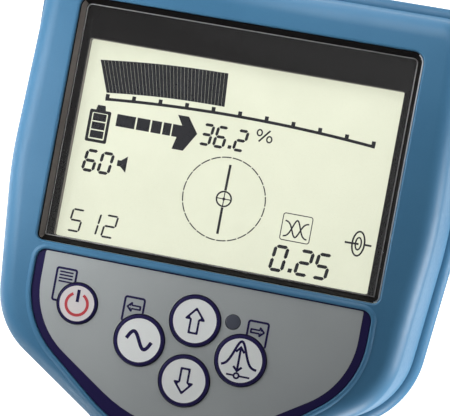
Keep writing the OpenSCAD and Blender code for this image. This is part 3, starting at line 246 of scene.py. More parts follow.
def centred(half: Flat) -> list[Flat]:
    """Gives the corners of an oblong about zero, from its half width and half height."""
    x, y = half
    return [(x, y), (-x, y), (-x, -y), (x, -y)]


def level(points: Sequence[Flat], height: float, at: Flat = (0.0, 0.0)) -> Ring:
    """Lays a flat outline at a height, moved to a place."""
    return [(x + at[0], y + at[1], height) for x, y in points]


def across(points: Sequence[Flat], at: Flat, along: Vector) -> Ring:
    """Sets a section square to a line in the middle plane, at a point given as Y and Z."""
    return [(x, at[0] + along.y * h, at[1] - along.x * h) for x, h in points]


def clear() -> None:
    """Leaves edit mode and deselects everything."""
    if bpy.context.mode != "OBJECT":
        bpy.ops.object.mode_set(mode="OBJECT")
    bpy.ops.object.select_all(action="DESELECT")


def take(*pieces: Piece) -> None:
    """Selects some pieces and nothing else.

    Args:
        pieces: The pieces, of which the first one becomes active.
    """
    clear()
    for piece in pieces:
        piece.select_set(True)
    bpy.context.view_layer.objects.active = pieces[0]


def edit(piece: Piece, select: str = "SELECT") -> None:
    """Opens one piece in edit mode by its edges.

    Args:
        piece: The piece.
        select: Blender's word for selecting all or nothing of it.
    """
    take(piece)
    bpy.ops.object.mode_set(mode="EDIT")
    bpy.ops.mesh.select_mode(type="EDGE")
    bpy.ops.mesh.select_all(action=select)


def apply_modifier(piece: Piece, kind: str, **settings: object) -> None:
    """Gives a piece a modifier and applies it.

    Args:
        piece: The piece.
        kind: Blender's name of the modifier.
        settings: Values of the modifier's settings.
    """
    take(piece)
    modifier = piece.modifiers.new(kind.lower(), kind)
    for name, value in settings.items():
        setattr(modifier, name, value)
    bpy.ops.object.modifier_apply(modifier=modifier.name)


def loft(name: str, rings: Sequence[Ring], ends: Ends = Ends.CAPPED) -> Piece:
    """Extrudes a circle's edges through a row of rings.

    Args:
        name: Name of the piece.
        rings: Rings with the same count of points.
        ends: Whether the ends are capped, or the last ring runs into the first.

    Returns:
        A closed mesh with its faces outwards.
    """
    current = list(range(len(rings[0])))
    clear()
    bpy.ops.mesh.primitive_circle_add(vertices=len(current), radius=1.0)
    piece = bpy.context.object
    piece.name = name
    for vertex, spot in zip(piece.data.vertices, rings[0]):
        vertex.co = spot
    edit(piece)
    if ends is Ends.CAPPED:
        bpy.ops.mesh.edge_face_add()
        shape = bmesh.from_edit_mesh(piece.data)
        for face in shape.faces:
            face.select_set(False)
        for edge in shape.edges:
            edge.select_set(True)
        bmesh.update_edit_mesh(piece.data)
    for ring in list(rings[1:]) + ([rings[0]] if ends is Ends.LOOPED else []):
        bpy.ops.mesh.extrude_edges_indiv()
        shape = bmesh.from_edit_mesh(piece.data)
        shape.verts.ensure_lookup_table()
        shape.verts.index_update()
        fresh: list[int] = []
        for index in current:
            vertex = shape.verts[index]
            others = [edge.other_vert(vertex) for edge in vertex.link_edges]
            fresh.append(next(other.index for other in others if other.select))
        for index, spot in zip(fresh, ring):
            shape.verts[index].co = spot
        bmesh.update_edit_mesh(piece.data)
        current = fresh
    if ends is Ends.CAPPED:
        bpy.ops.mesh.edge_face_add()
    bpy.ops.mesh.select_all(action="SELECT")
    bpy.ops.mesh.remove_doubles(threshold=MERGE_GAP)
    bpy.ops.mesh.normals_make_consistent(inside=False)
    clear()
    return piece


def prism(name: str, outline: Sequence[Flat], low: float, high: float, at: Flat = (0.0, 0.0)) -> Piece:
    """Extrudes a flat outline between two heights."""
    return loft(name, [level(outline, low, at), level(outline, high, at)])


def turned(name: str, profile: Sequence[Flat], at: Flat, count: int = 48) -> Piece:
    """Turns a profile of radii and heights about an upright line."""
    return loft(name, [level(circle(radius, count), height, at) for radius, height in profile])


def bar(radius: float, start: Spot, end: Spot, count: int = 40) -> Piece:
    """Makes a round bar between two points.

    Args:
        radius: Its radius.
        start: Middle of one end.
        end: Middle of the other end.
        count: Facets round it.

    Returns:
        The bar.
    """
    way = (Vector(end) - Vector(start)).normalized()
    turn = way.to_track_quat("Z", "Y").to_matrix()
    rim = [turn @ Vector((x, y, 0.0)) for x, y in circle(radius, count)]
    return loft("bar", [[tuple(p + Vector(spot)) for p in rim] for spot in (start, end)])


def box(low: Spot, high: Spot) -> Piece:
    """Makes a block between two corners."""
    return prism("block", oblong(low[:2], high[:2]), low[2], high[2])


def joined(name: str, pieces: Sequence[Piece]) -> Piece:
    """Joins pieces into one object.

    Args:
        name: Name of the object.
        pieces: The pieces.

    Returns:
        The first piece, which holds them all.
    """
    take(*pieces)
    if len(pieces) > 1:
        bpy.ops.object.join()
    pieces[0].name = name
    return pieces[0]


def carve(target: Piece, *cutters: Piece, how: Cut = Cut.AWAY) -> None:
    """Applies a Boolean.

    Args:
        target: The piece that stays.
        cutters: Pieces that are joined into one cutter, which is removed.
        how: What the Boolean keeps.
    """
    cutter = joined("cutter", cutters)
    apply_modifier(target, "BOOLEAN", operation=how.value, solver="EXACT", object=cutter)
    bpy.data.objects.remove(cutter, do_unlink=True)


def flatten_faces(piece: Piece, angle: float = 0.2, merge: float = 1e-5) -> None:
    """Merges near points and dissolves the edges between faces in one plane.

    Args:
        piece: The piece.
        angle: Greatest angle between such faces, in degrees.
        merge: Greatest distance between points that are merged.
    """
    edit(piece)
    bpy.ops.mesh.remove_doubles(threshold=merge)
    bpy.ops.mesh.dissolve_limited(angle_limit=math.radians(angle), use_dissolve_boundaries=False)
    clear()


def bevel_where(piece: Piece, width: float, wanted: Callable[[Edge], bool], segments: int = 2) -> None:
    """Bevels the sharp edges that a test picks.

    Args:
        piece: The piece to bevel.
        width: Width of the bevel.
        wanted: Test of an edge.
        segments: Facets across the bevel.
    """
    edit(piece, "DESELECT")
    shape = bmesh.from_edit_mesh(piece.data)
    for edge in shape.edges:
        edge.select_set(edge.calc_face_angle(0.0) > SHARP_ANGLE and wanted(edge))
    bmesh.update_edit_mesh(piece.data)
    bpy.ops.mesh.bevel(offset=width, offset_type="OFFSET", segments=segments, clamp_overlap=True)
    clear()


def on_split(edge: Edge) -> bool:
    """Tells whether an edge of a half shell lies on the middle plane."""
    return all(abs(vertex.co.x) < SPLIT_GAP for vertex in edge.verts)


def settle(piece: Piece, place: Matrix) -> None:
    """Moves a piece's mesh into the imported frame.

    Args:
        piece: The piece in its own millimetres.
        place: The frame that it is built in.
    """
    take(piece)
    piece.matrix_world = Matrix.Scale(MM, 4) @ place
    bpy.ops.object.transform_apply(location=True, rotation=True, scale=True)


def polish(piece: Piece, smooth: Smooth = Smooth.EVEN) -> None:
    """Smooths the faces up to an angle and evens their normals by area.

    Args:
        piece: The piece.
        smooth: The angle.
    """
    take(piece)
    bpy.ops.object.shade_smooth_by_angle(angle=math.radians(smooth.value))
    apply_modifier(piece, "WEIGHTED_NORMAL", keep_sharp=True)


def refined(node: str, width: float, segments: int = 2) -> Piece:
    """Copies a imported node, merges its triangles and rounds its edges.

    Args:
        node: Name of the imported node.
        width: Width of the rounding in millimetres.
        segments: Facets across the rounding.

    Returns:
        The copy, in metres.
    """
    piece = bpy.data.objects.new(node + "_finished", frame["nodes"][node].data.copy())
    bpy.context.scene.collection.objects.link(piece)
    flatten_faces(piece, NODE_FLAT_ANGLE, NODE_MERGE)
    apply_modifier(
        piece,
        "BEVEL",
        width=width * MM,
        segments=segments,
        limit_method="ANGLE",
        angle_limit=NODE_SHARP_ANGLE,
        use_clamp_overlap=True,
    )
    return piece


def linear(colour: Colour) -> tuple[float, ...]:
    """Turns an 8-bit screen colour into scene colour."""
    tones = [c / 255 for c in colour]
    return *(t / 12.92 if t <= 0.04045 else ((t + 0.055) / 1.055) ** 2.4 for t in tones), 1.0


def feed(tree: Tree, node: Node, inputs: Inputs) -> Node:
    """Links sockets to a node's inputs, or sets their values.

    Args:
        tree: The node tree.
        node: The node.
        inputs: A socket or a value for each input, by the input's name or place.

    Returns:
        The node.
    """
    for key, given in inputs.items():
        if isinstance(given, Socket):
            tree.links.new(given, node.inputs[key])
        else:
            node.inputs[key].default_value = given
    return node


def add(tree: Tree, kind: str, inputs: Inputs, **settings: str) -> bpy.types.bpy_prop_collection:
    """Adds a shader node.

    Args:
        tree: The node tree.
        kind: Blender's name of the node, without its start.
        inputs: A socket or a value for each input, by the input's name or place.
        settings: Values of the node's own settings.

    Returns:
        The node's outputs.
    """
    node = tree.nodes.new("ShaderNode" + kind)
    for name, value in settings.items():
        setattr(node, name, value)
    return feed(tree, node, inputs).outputs


def calculate(tree: Tree, operation: str, first: Socket, second: Socket | float) -> Socket:
    """Adds a Math node with two values and gives its result."""
    return add(tree, "Math", {0: first, 1: second}, operation=operation)[0]


def weigh(tree: Tree, first: Socket, second: Socket, share: float) -> Socket:
    """Adds two values up, of which the first one has a share of the weight."""
    parts = ((first, share), (second, 1 - share))
    return calculate(tree, "ADD", *(calculate(tree, "MULTIPLY", value, weight) for value, weight in parts))


DRAWN_STRETCH = (1.0, 1.0, 0.08)
SPECK_SCALE = 0.37
PATCH_DETAIL, GRAIN_DETAIL, SPECK_DETAIL = 3.0, 2.0, 1.0
TONE_SHARE, ROUGH_SHARE, HEIGHT_SHARE = 0.72, 0.5, 0.65
TONE_RANGE = {"From Min": 0.36, "From Max": 0.64}
ROUGH_RANGE = {"From Min": 0.35, "From Max": 0.65}


@cache
def grain_group(kind: Grain) -> Tree:
    """Builds the node group that finishes share, which mixes two tones and varies roughness and height.

    Args:
        kind: Moulded speckle, or the fine lines of drawn and turned metal.

    Returns:
        The node group.
    """
    tree = bpy.data.node_groups.new(kind.value, "ShaderNodeTree")
    ways = {
        "INPUT": {
            "Vector": "Vector", "Light": "Color", "Dark": "Color",
            "Patch Scale": "Float", "Grain Scale": "Float", "Rough Low": "Float", "Rough High": "Float",
        },
        "OUTPUT": {"Color": "Color", "Roughness": "Float", "Height": "Float"},
    }
    for way, sockets in ways.items():
        for name, sort in sockets.items():
            tree.interface.new_socket(name=name, in_out=way, socket_type="NodeSocket" + sort)
    given = tree.nodes.new("NodeGroupInput").outputs
    place = given["Vector"]
    if kind is Grain.DRAWN:
        place = add(tree, "Mapping", {"Vector": place, "Scale": DRAWN_STRETCH})["Vector"]
    noises = (
        (given["Patch Scale"], PATCH_DETAIL),
        (given["Grain Scale"], GRAIN_DETAIL),
        (calculate(tree, "MULTIPLY", given["Grain Scale"], SPECK_SCALE), SPECK_DETAIL),
    )
    patch, grain, speck = [
        add(tree, "TexNoise", {"Vector": place, "Scale": scale, "Detail": detail})["Fac"]
        for scale, detail in noises
    ]
    tone = weigh(tree, patch, grain, TONE_SHARE)
    spread = add(tree, "MapRange", {"Value": tone, **TONE_RANGE})["Result"]
    mixed = add(tree, "Mix", {0: spread, 6: given["Light"], 7: given["Dark"]}, data_type="RGBA")[2]
    rough = {
        "Value": weigh(tree, patch, speck, ROUGH_SHARE),
        **ROUGH_RANGE,
        "To Min": given["Rough Low"],
        "To Max": given["Rough High"],
    }
    results = {
        "Color": mixed,
        "Roughness": add(tree, "MapRange", rough)["Result"],
        "Height": weigh(tree, grain, speck, HEIGHT_SHARE),
    }
    feed(tree, tree.nodes.new("NodeGroupOutput"), results)
    return tree


def start_material(name: str) -> tuple[Material, Tree, Node]:
    """Starts a material with nodes.

    Args:
        name: Name of the material.

    Returns:
        The material, its node tree and its main shader.
    """
    material = bpy.data.materials.new(name)
    material.use_nodes = True
    return material, material.node_tree, material.node_tree.nodes["Principled BSDF"]


def grain_outputs(tree: Tree, kind: Grain, inputs: Inputs) -> bpy.types.bpy_prop_collection:
    """Adds a shared grain group on object coordinates.

    Args:
        tree: The node tree of a material.
        kind: The kind of grain.
        inputs: A value for each input of the group.

    Returns:
        The group's outputs.
    """
    group = tree.nodes.new("ShaderNodeGroup")
    group.node_tree = grain_group(kind)
    place = add(tree, "TexCoord", {})["Object"]
    return feed(tree, group, {"Vector": place, **inputs}).outputs


@dataclass(frozen=True)
class Finish:
    """An opaque finish: two close tones, a range of roughness, and a fine relief."""

    name: str
    light: Colour
    dark: Colour
    rough: tuple[float, float]
    patch: float = 45.0
    grain: float = 2400.0
    relief: float = 3e-5
    strength: float = 0.25
    metallic: float = 0.0
    coat: float = 0.0
    specular: float = 0.5
    glow: float = 0.0
    kind: Grain = Grain.MOULDED

    def build(self) -> Material:
        """Builds the finish as a material.

        Returns:
            The material.
        """
        material, tree, shader = start_material(self.name)
        inputs = {
            "Light": linear(self.light),
            "Dark": linear(self.dark),
            "Patch Scale": self.patch,
            "Grain Scale": self.grain,
            "Rough Low": self.rough[0],
            "Rough High": self.rough[1],
        }
        grain = grain_outputs(tree, self.kind, inputs)
        bump = {"Strength": self.strength, "Distance": self.relief, "Height": grain["Height"]}
        surface = {
            "Base Color": grain["Color"],
            "Roughness": grain["Roughness"],
            "Normal": add(tree, "Bump", bump)["Normal"],
            "Metallic": self.metallic,
            "Coat Weight": self.coat,
            "Specular IOR Level": self.specular,
        }
        # A glow makes the finish emit its own colour: painted light, used only for the screen
        if self.glow > 0:
            surface |= {"Emission Color": grain["Color"], "Emission Strength": self.glow}
        feed(tree, shader, surface)
        return material


@dataclass(frozen=True)
class LensFinish:
    """Clear coated glazing that lets light through to the screen."""

    name: str = "clear_lens"
    tint: tuple[float, ...] = (0.97, 0.98, 0.98, 1.0)
    rough: tuple[float, float] = (0.02, 0.06)
    patch: float = 30.0
    grain: float = 400.0
    bend: float = 1.28

    def build(self) -> Material:
        """Builds the glazing, see-through for shadow rays.

        Returns:
            The material.
        """
        material, tree, shader = start_material(self.name)
        inputs = {
            "Patch Scale": self.patch,
            "Grain Scale": self.grain,
            "Rough Low": self.rough[0],
            "Rough High": self.rough[1],
        }
        glass = {
            "Base Color": self.tint,
            "Transmission Weight": 1.0,
            "IOR": self.bend,
            "Roughness": grain_outputs(tree, Grain.MOULDED, inputs)["Roughness"],
        }
        layers = {
            0: add(tree, "LightPath", {})["Is Shadow Ray"],
            1: feed(tree, shader, glass).outputs["BSDF"],
            2: add(tree, "BsdfTransparent", {})["BSDF"],
        }
        feed(tree, tree.nodes["Material Output"], {"Surface": add(tree, "MixShader", layers)["Shader"]})
        return material


METAL = {"metallic": 1.0, "kind": Grain.DRAWN}
PRINT = {"grain": 5200.0, "strength": 0.15}
WOUND = {"grain": 5200.0, "strength": 0.6}
FILM = {"relief": 1e-5}
FINISHES: dict[str, Finish | LensFinish] = {
    finish.name: finish
    for finish in (
        Finish("blue_plastic", (59, 109, 143), (54, 104, 138), (0.4, 0.5), specular=0.29),
        Finish("black_rubber", (34, 35, 37), (25, 26, 28), (0.6, 0.75), grain=3000.0),
        Finish("blue_rubber", (62, 108, 140), (56, 100, 132), (0.6, 0.75), grain=3000.0, specular=0.2),
        Finish("dark_frame", (14, 12, 12), (9, 8, 8), (0.45, 0.55), grain=3000.0, specular=0.06),
        LensFinish(),
        # The screen's low base colour with a strong glow is painted light that keeps it evenly bright under the
        # lens
        Finish("screen_cream", (100, 101, 90), (97, 98, 87), (0.5, 0.6), **FILM, specular=0.2, glow=5.0),
        Finish("white_diffuser", (240, 240, 236), (230, 231, 228), (0.5, 0.6)),
        Finish("dark_plastic", (52, 54, 57), (42, 44, 47), (0.42, 0.55)),
        Finish("steel", (188, 190, 192), (160, 162, 165), (0.24, 0.36), **METAL),
        Finish("board_green", (28, 92, 54), (20, 70, 40), (0.3, 0.4), patch=420.0, coat=0.3),
        Finish("chip_black", (30, 30, 32), (22, 22, 24), (0.45, 0.6)),
        Finish("keypad_grey", (163, 168, 169), (157, 162, 163), (0.5, 0.6), **PRINT, specular=0.2),
        Finish("key_rubber", (234, 237, 236), (229, 232, 231), (0.5, 0.6), grain=4200.0, specular=0.2),
        Finish("sensor_dark", (60, 64, 76), (54, 57, 69), (0.4, 0.5), specular=0.3),
        Finish("nickel", (206, 203, 196), (182, 179, 172), (0.18, 0.3), **METAL),
        Finish("grip_rubber", (42, 43, 45), (31, 32, 34), (0.62, 0.78), grain=1900.0, strength=0.5),
        Finish("alloy", (178, 180, 183), (156, 158, 162), (0.3, 0.42), **METAL),
        Finish("contact_brass", (212, 178, 96), (190, 156, 80), (0.2, 0.34), **METAL),
        Finish("cell_jacket", (196, 148, 52), (178, 132, 44), (0.25, 0.35), coat=0.4),
        Finish("ferrite", (58, 56, 56), (46, 44, 45), (0.5, 0.65), grain=1600.0, strength=0.4),
        Finish("copper_wire", (188, 108, 62), (150, 80, 44), (0.25, 0.4), **WOUND, **METAL),
        Finish("navy_print", (25, 18, 64), (21, 14, 57), (0.5, 0.6), **PRINT, specular=0.12),
        Finish("red_print", (178, 48, 58), (168, 42, 52), (0.45, 0.55), grain=5200.0),
        Finish("segment_ink", (10, 10, 18), (7, 7, 14), (0.6, 0.7), **FILM, specular=0.05),
        Finish("rose_key", (212, 208, 208), (206, 202, 202), (0.5, 0.6), grain=4200.0, specular=0.2),
        # Pale paint on thin edges: a painted highlight where the edges catch the light
        Finish("painted_edge_glint", (222, 221, 222), (206, 205, 207), (0.25, 0.35)),
        # A lighter brown on the dark frame: painted light from the screen on the wall round it and from the
        # lamps on the lip's left slope
        Finish("painted_wall_light", (96, 90, 85), (84, 78, 74), (0.5, 0.6), specular=0.3),
    )
}


@cache
def paint(name: str) -> Material:
    """Gives the material of a finish, built on its first use."""
    return FINISHES[name].build()


def hand_over(piece: Piece, finish: str, nodes: Sequence[str] = (), body: str = "body") -> Piece:
    """Paints a settled piece and fixes it to its body.

    Args:
        piece: The piece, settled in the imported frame.
        finish: Name of its finish.
        nodes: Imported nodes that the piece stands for.
        body: The body that it moves with.

    Returns:
        The piece.
    """
    piece.data.materials.clear()
    piece.data.materials.append(paint(finish))
    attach(piece, body)
    if nodes:
        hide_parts(*nodes)
    return piece


def complete(
    piece: Piece,
    finish: str,
    nodes: Sequence[str] = (),
    body: str = "body",
    place: Matrix = HEAD_PLACE,
    smooth: Smooth = Smooth.EVEN,
) -> Piece:
    """Settles a piece, smooths it and hands it over.

    Args:
        piece: The piece in its own millimetres.
        finish: Name of its finish.
        nodes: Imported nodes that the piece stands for.
        body: The body that it moves with.
        place: The frame that it is built in.
        smooth: Angle in degrees up to which its faces are smoothed.

    Returns:
        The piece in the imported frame.
    """
    settle(piece, place)
    polish(piece, smooth)
    return hand_over(piece, finish, nodes, body)


def finish_node(
    node: str, width: float, finish: str, body: str = "body", segments: int = 2, smooth: Smooth = Smooth.EVEN
) -> Piece:
    """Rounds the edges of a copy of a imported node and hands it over.

    Args:
        node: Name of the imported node.
        width: Width of the rounding in millimetres.
        finish: Name of its finish.
        body: The body that it moves with.
        segments: Facets across the rounding.
        smooth: Angle in degrees up to which its faces are smoothed.

    Returns:
        The finished copy.
    """
    piece = refined(node, width, segments)
    polish(piece, smooth)
    return hand_over(piece, finish, [node], body)


def paint_where(piece: Piece, finish: str, wanted: Callable[[Vector], bool]) -> None:
    """Adds a finish to a piece of the head and gives it to the faces that are wanted.

    Args:
        piece: A settled piece that has its first finish.
        finish: Name of the finish to add.
        wanted: Tells whether a face takes it, by its middle in the head's own millimetres.
    """
    piece.data.materials.append(paint(finish))
    index = len(piece.data.materials) - 1
    for face in piece.data.polygons:
        if wanted(HEAD_PLACE.inverted() @ (face.center / MM)):
            face.material_index = index


def stroke(points: Sequence[Flat], width: float) -> Mark:
    """Widens an open line into a closed outline.

    Args:
        points: Points of the line.
        width: Width of the stroke.

    Returns:
        A mark with one outline, out along one side of the line and back along the other.
    """
    spots = [Vector(p) for p in points]
    left: list[Flat] = []
    right: list[Flat] = []
    for i, spot in enumerate(spots):
        before = spots[max(i - 1, 0)]
        after = spots[min(i + 1, len(spots) - 1)]
        arrive = (spot - before).normalized() if i else (after - spot).normalized()
        leave = (after - spot).normalized() if i < len(spots) - 1 else arrive
        way = (arrive + leave).normalized()
        side = Vector((-way.y, way.x)) * width / 2 / max(MITRE_LIMIT, way.dot(leave))
        left.append((spot.x + side.x, spot.y + side.y))
        right.append((spot.x - side.x, spot.y - side.y))
    return [left + right[::-1]]


def hoop(at: Flat, rx: float, ry: float, width: float, count: int = 40) -> Mark:
    """Gives an elliptical line as an outer and an inner outline."""
    rim = circle(1.0, count)
    return [[(at[0] + (rx + s) * x, at[1] + (ry + s) * y) for x, y in rim] for s in (width / 2, -width / 2)]


def outlined(points: Sequence[Flat], radius: float, width: float) -> Mark:
    """Gives the line along a closed outline with round corners as an outer and an inner outline."""
    radii = [radius] * len(points)
    return [rounded(points, radii, inset, OUTLINE_CHORDS) for inset in (0.0, width)]


def arc_points(at: Flat, radius: float, start: float, end: float, steps: int) -> list[Flat]:
    """Gives points of an arc between two angles in degrees."""
    turns = [math.radians(lerp(start, end, t)) for t in shares(steps)]
    return [(at[0] + radius * math.cos(turn), at[1] + radius * math.sin(turn)) for turn in turns]


def flat_marks(name: str, marks: Sequence[Mark], low: float, high: float) -> Piece:
    """Fills flat marks of the head as curves and makes them one thin mesh.

    Args:
        name: Name of the piece.
        marks: Marks, each a list of closed outlines of which the inner ones are holes.
        low: Height of the underside.
        high: Height of the face.

    Returns:
        The marks as a mesh.
    """
    pieces: list[Piece] = []
    for i, mark in enumerate(marks):
        curve = bpy.data.curves.new(f"{name}_{i}", "CURVE")
        curve.dimensions = "2D"
        curve.fill_mode = "BOTH"
        curve.extrude = (high - low) / 2
        for loop in mark:
            spline = curve.splines.new("POLY")
            spline.points.add(len(loop) - 1)
            for point, (x, y) in zip(spline.points, loop):
                point.co = (x, y, 0.0, 1.0)
            spline.use_cyclic_u = True
        piece = bpy.data.objects.new(f"{name}_{i}", curve)
        bpy.context.scene.collection.objects.link(piece)
        pieces.append(piece)
    take(*pieces)
    bpy.ops.object.convert(target="MESH")
    made = joined(name, pieces)
    made.data.transform(Matrix.Translation((0.0, 0.0, (low + high) / 2)))
    return made


@dataclass
class Head:
    """The display head: top casing, lip round the keypad, lower casing and the seal between the casings."""

    top: float = 55.2
    tail: float = -140.0
    outline: tuple[Flat, ...] = (
        (65.4, 55.2), (-65.4, 55.2), (-67.2, -9.8), (-62.2, -59.6), (-24.0, -84.3),
        (-24.0, -140.0), (24.0, -140.0), (24.0, -84.3), (62.2, -59.6), (67.2, -9.8),
    )
    radii: tuple[float, ...] = (13.5, 13.5, 130.0, 28.4, 12.0, 18.0, 18.0, 12.0, 28.4, 130.0)
    rim_chords: int = 14
    rim_parts: int = 8
    seam_depth: float = 16.0
    seam_lean: float = math.tan(math.radians(11.8))
    seam_bevel: float = 0.35
    seam_seek: float = 0.02
    wall: float = 3.0
    end: float = -118.0
    end_reach: float = 90.0
    end_heights: Flat = (-120.0, 60.0)
    depth: float = 62.0
    face_fall: float = 22.0
    fall_start: float = -90.0
    fall_run: float = 32.0
    face_seek: float = 0.01
    flank_inset: float = 3.0
    flank_steps: int = 5
    crest_r: float = 6.0
    crest_end: float = math.radians(74.0)
    crest_inset: float = 11.45
    crest_steps: int = 10
    bead_height: float = 2.5
    bead_steps: int = 6
    bowl_steps: int = 14
    inner_steps: int = 9
    seal_half: float = 0.5
    seal_inset: float = 0.8
    crown_v: float = -40.0
    crown_shares: tuple[float, ...] = (0.25, 0.6, 0.8, 0.92)
    keel_half: float = 24.0
    keel_front: float = 22.0
    keel_power: int = 3
    keel_slot: tuple[Flat, Flat] = ((-9.0, -64.0), (9.0, -32.0))
    rim_bevel: float = 0.7
    rim_facets: int = 4
    rim_merge: float = 0.05
    surround: tuple[Flat, ...] = (
        (-0.12, -2.4), (-0.12, 0.2), (-0.3, 0.42), (-0.6, 0.5),
        (-0.9, 0.46), (-1.2, 0.3), (-1.6, 0.03), (-1.6, -2.4),
    )
    bed_depth: float = 1.3
    bed_gap: float = 0.1
    window: tuple[Flat, ...] = ((49.0, 39.6), (-49.0, 39.6), (-49.0, -30.4), (49.0, -30.4))
    window_radii: tuple[float, ...] = (3.1, 3.1, 1.8, 1.8)
    sheet: tuple[Flat, ...] = ((47.8, -32.7), (-47.8, -32.7), (-47.8, -53.4), (0.0, -91.0), (47.8, -53.4))
    sheet_radii: tuple[float, ...] = (3.0, 3.0, 25.0, 40.0, 25.0)
    sheet_chords: int = 16
    key_holes: tuple[Spot, ...] = (
        (-33.8, -46.1, 6.0), (-14.5, -52.8, 7.4), (0.0, -44.5, 7.4),
        (0.0, -61.4, 7.4), (14.5, -52.8, 7.4), (10.5, -42.8, 2.2),
    )
    post_places: tuple[Flat, ...] = ((54.0, 32.0), (-54.0, 32.0), (54.0, -30.0), (-54.0, -30.0))
    post_r: float = 5.5
    post_gap: float = 1.2
    post_floor: float = 4.0
    bore_r: float = 3.5

    def rim(self, inset: float) -> list[Flat]:
        """Gives the head's outline in plan, moved in by an inset."""
        return rounded(self.outline, self.radii, inset, self.rim_chords, self.rim_parts)

    def sheet_rim(self, inset: float) -> list[Flat]:
        """Gives the keypad sheet's outline, moved in by an inset."""
        return rounded(self.sheet, self.sheet_radii, inset, self.sheet_chords)

    def seam(self, v: float) -> float:
        """Gives the height of the seam at a distance up the display."""
        return -self.seam_depth - (self.top - v) * self.seam_lean

    def face(self, v: float) -> float:
        """Gives the height of the display face, which falls towards the handle."""
        return -self.face_fall * ease((self.fall_start - v) / self.fall_run)

    def crest(self, turn: float, wall: float) -> Ring:
        """Gives a ring of the round crest between the face and the flank.

        Args:
            turn: Angle that the crest has turned from the face.
            wall: How far the ring lies inside the outer skin.

        Returns:
            The ring.
        """
        drop = wall + self.crest_r * (1 - math.cos(turn))
        rim = self.rim(self.crest_inset - self.crest_r * math.sin(turn) + wall)
        return [(x, v, self.face(v) - drop) for x, v in rim]

    def flank(self, share: float, wall: float) -> Ring:
        """Gives a ring of the steep flank between the crest and the seam.

        Args:
            share: Share of the way down.
            wall: How far the ring lies inside the outer skin.

        Returns:
            The ring.
        """
        top = self.crest_inset - self.crest_r * math.sin(self.crest_end)
        drop = wall + self.crest_r * (1 - math.cos(self.crest_end))
        rim = self.rim(lerp(top, self.flank_inset, share) + wall)
        return [(x, v, lerp(self.face(v) - drop, self.seam(v) + self.seal_half, share)) for x, v in rim]

    def crown(self, share: float, wall: float) -> Ring:
        """Gives a ring of the face, a share of the way out from its middle."""
        flat = [between((0.0, self.crown_v), spot, share) for spot in self.rim(self.crest_inset + wall)]
        return [(x, v, self.face(v) - wall) for x, v in flat]

    def skin(self, wall: float) -> list[Ring]:
        """Gives the rings of one skin of the top casing, from the middle of its face to the seam.

        Args:
            wall: How far the skin lies inside the outer one.

        Returns:
            The rings.
        """
        crowns = [self.crown(share, wall) for share in self.crown_shares]
        crests = [self.crest(turn, wall) for turn in shares(self.crest_steps, self.crest_end)]
        flanks = [self.flank(t, wall) for t in shares(self.flank_steps)[1:]]
        return crowns + crests + flanks

    def bead(self, turn: float) -> Ring:
        """Gives a ring of the bead on the lower casing's rim.

        Args:
            turn: Angle from the seam at 0 to the bowl at 90 degrees.

        Returns:
            The ring.
        """
        drop = self.bead_height * (1 - math.cos(turn))
        rim = self.rim(self.flank_inset * (1 - math.sin(turn)))
        return [(x, v, self.seam(v) - self.seal_half - drop) for x, v in rim]

    def bowl(self, turn: float, wall: float) -> Ring:
        """Gives a ring of the lower casing's bowl.

        Args:
            turn: Angle from the bead at 0 to the keel at 90 degrees.
            wall: How far the ring lies inside the outer skin.

        Returns:
            The ring.
        """
        half, power = self.keel_half - wall, self.keel_power
        draw = (self.top - self.keel_front) / (self.top - self.tail)
        share = 1 - math.cos(turn)
        ring: Ring = []
        for x, v in self.rim(wall):
            keel = (half * x / (abs(x) ** power + half**power) ** (1 / power), v - (v - self.tail) * draw)
            start = self.seam(v) - self.seal_half - self.bead_height
            ring.append((*between((x, v), keel, share), lerp(start, wall - self.depth, math.sin(turn))))
        return ring

    def end_block(self) -> Piece:
        """Makes the block that cuts the head off square at its end."""
        low, high = self.end_heights
        return box((-self.end_reach, self.end - self.end_reach, low), (self.end_reach, self.end, high))

    def build_top(self) -> Piece:
        """Builds the top casing with its window, keypad bed and key holes.

        Returns:
            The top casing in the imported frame.
        """
        piece = loft("top_casing_shell", self.skin(0.0) + self.skin(self.wall)[::-1])
        flatten_faces(piece)
        under = -self.wall - OVERRUN
        carve(piece, self.end_block())
        carve(piece, prism("window_cut", rounded(self.window, self.window_radii), under, OVERRUN))
        carve(piece, prism("bed_cut", self.sheet_rim(-self.bed_gap), -self.bed_depth, OVERRUN))
        carve(piece, *(prism("key_cut", circle(r), under, OVERRUN, (x, v)) for x, v, r in self.key_holes))
        flatten_faces(piece, merge=self.rim_merge)
        low = self.window[2][1] - self.rim_merge

        def rims_window(edge: Edge) -> bool:
            """Tells whether an edge rims the window on the face."""
            return all(abs(vertex.co.z) < self.face_seek and vertex.co.y > low for vertex in edge.verts)

        bevel_where(piece, self.rim_bevel, rims_window, self.rim_facets)
        bevel_where(piece, self.seam_bevel, self.rims_seam)
        return complete(piece, "blue_plastic", ["top_casing"])

    def rims_seam(self, edge: Edge) -> bool:
        """Tells whether an edge of a casing runs along the seam."""
        gaps = [abs(vertex.co.z - self.seam(vertex.co.y)) - self.seal_half for vertex in edge.verts]
        return all(abs(gap) < self.seam_seek for gap in gaps)

    def build_surround(self) -> Piece:
        """Builds the low lip moulded round the keypad's bed.

        Returns:
            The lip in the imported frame.
        """
        rings = [level(self.sheet_rim(inset), height) for inset, height in self.surround]
        piece = loft("keypad_surround", rings, Ends.LOOPED)
        return complete(piece, "blue_plastic", smooth=Smooth.SOFT)

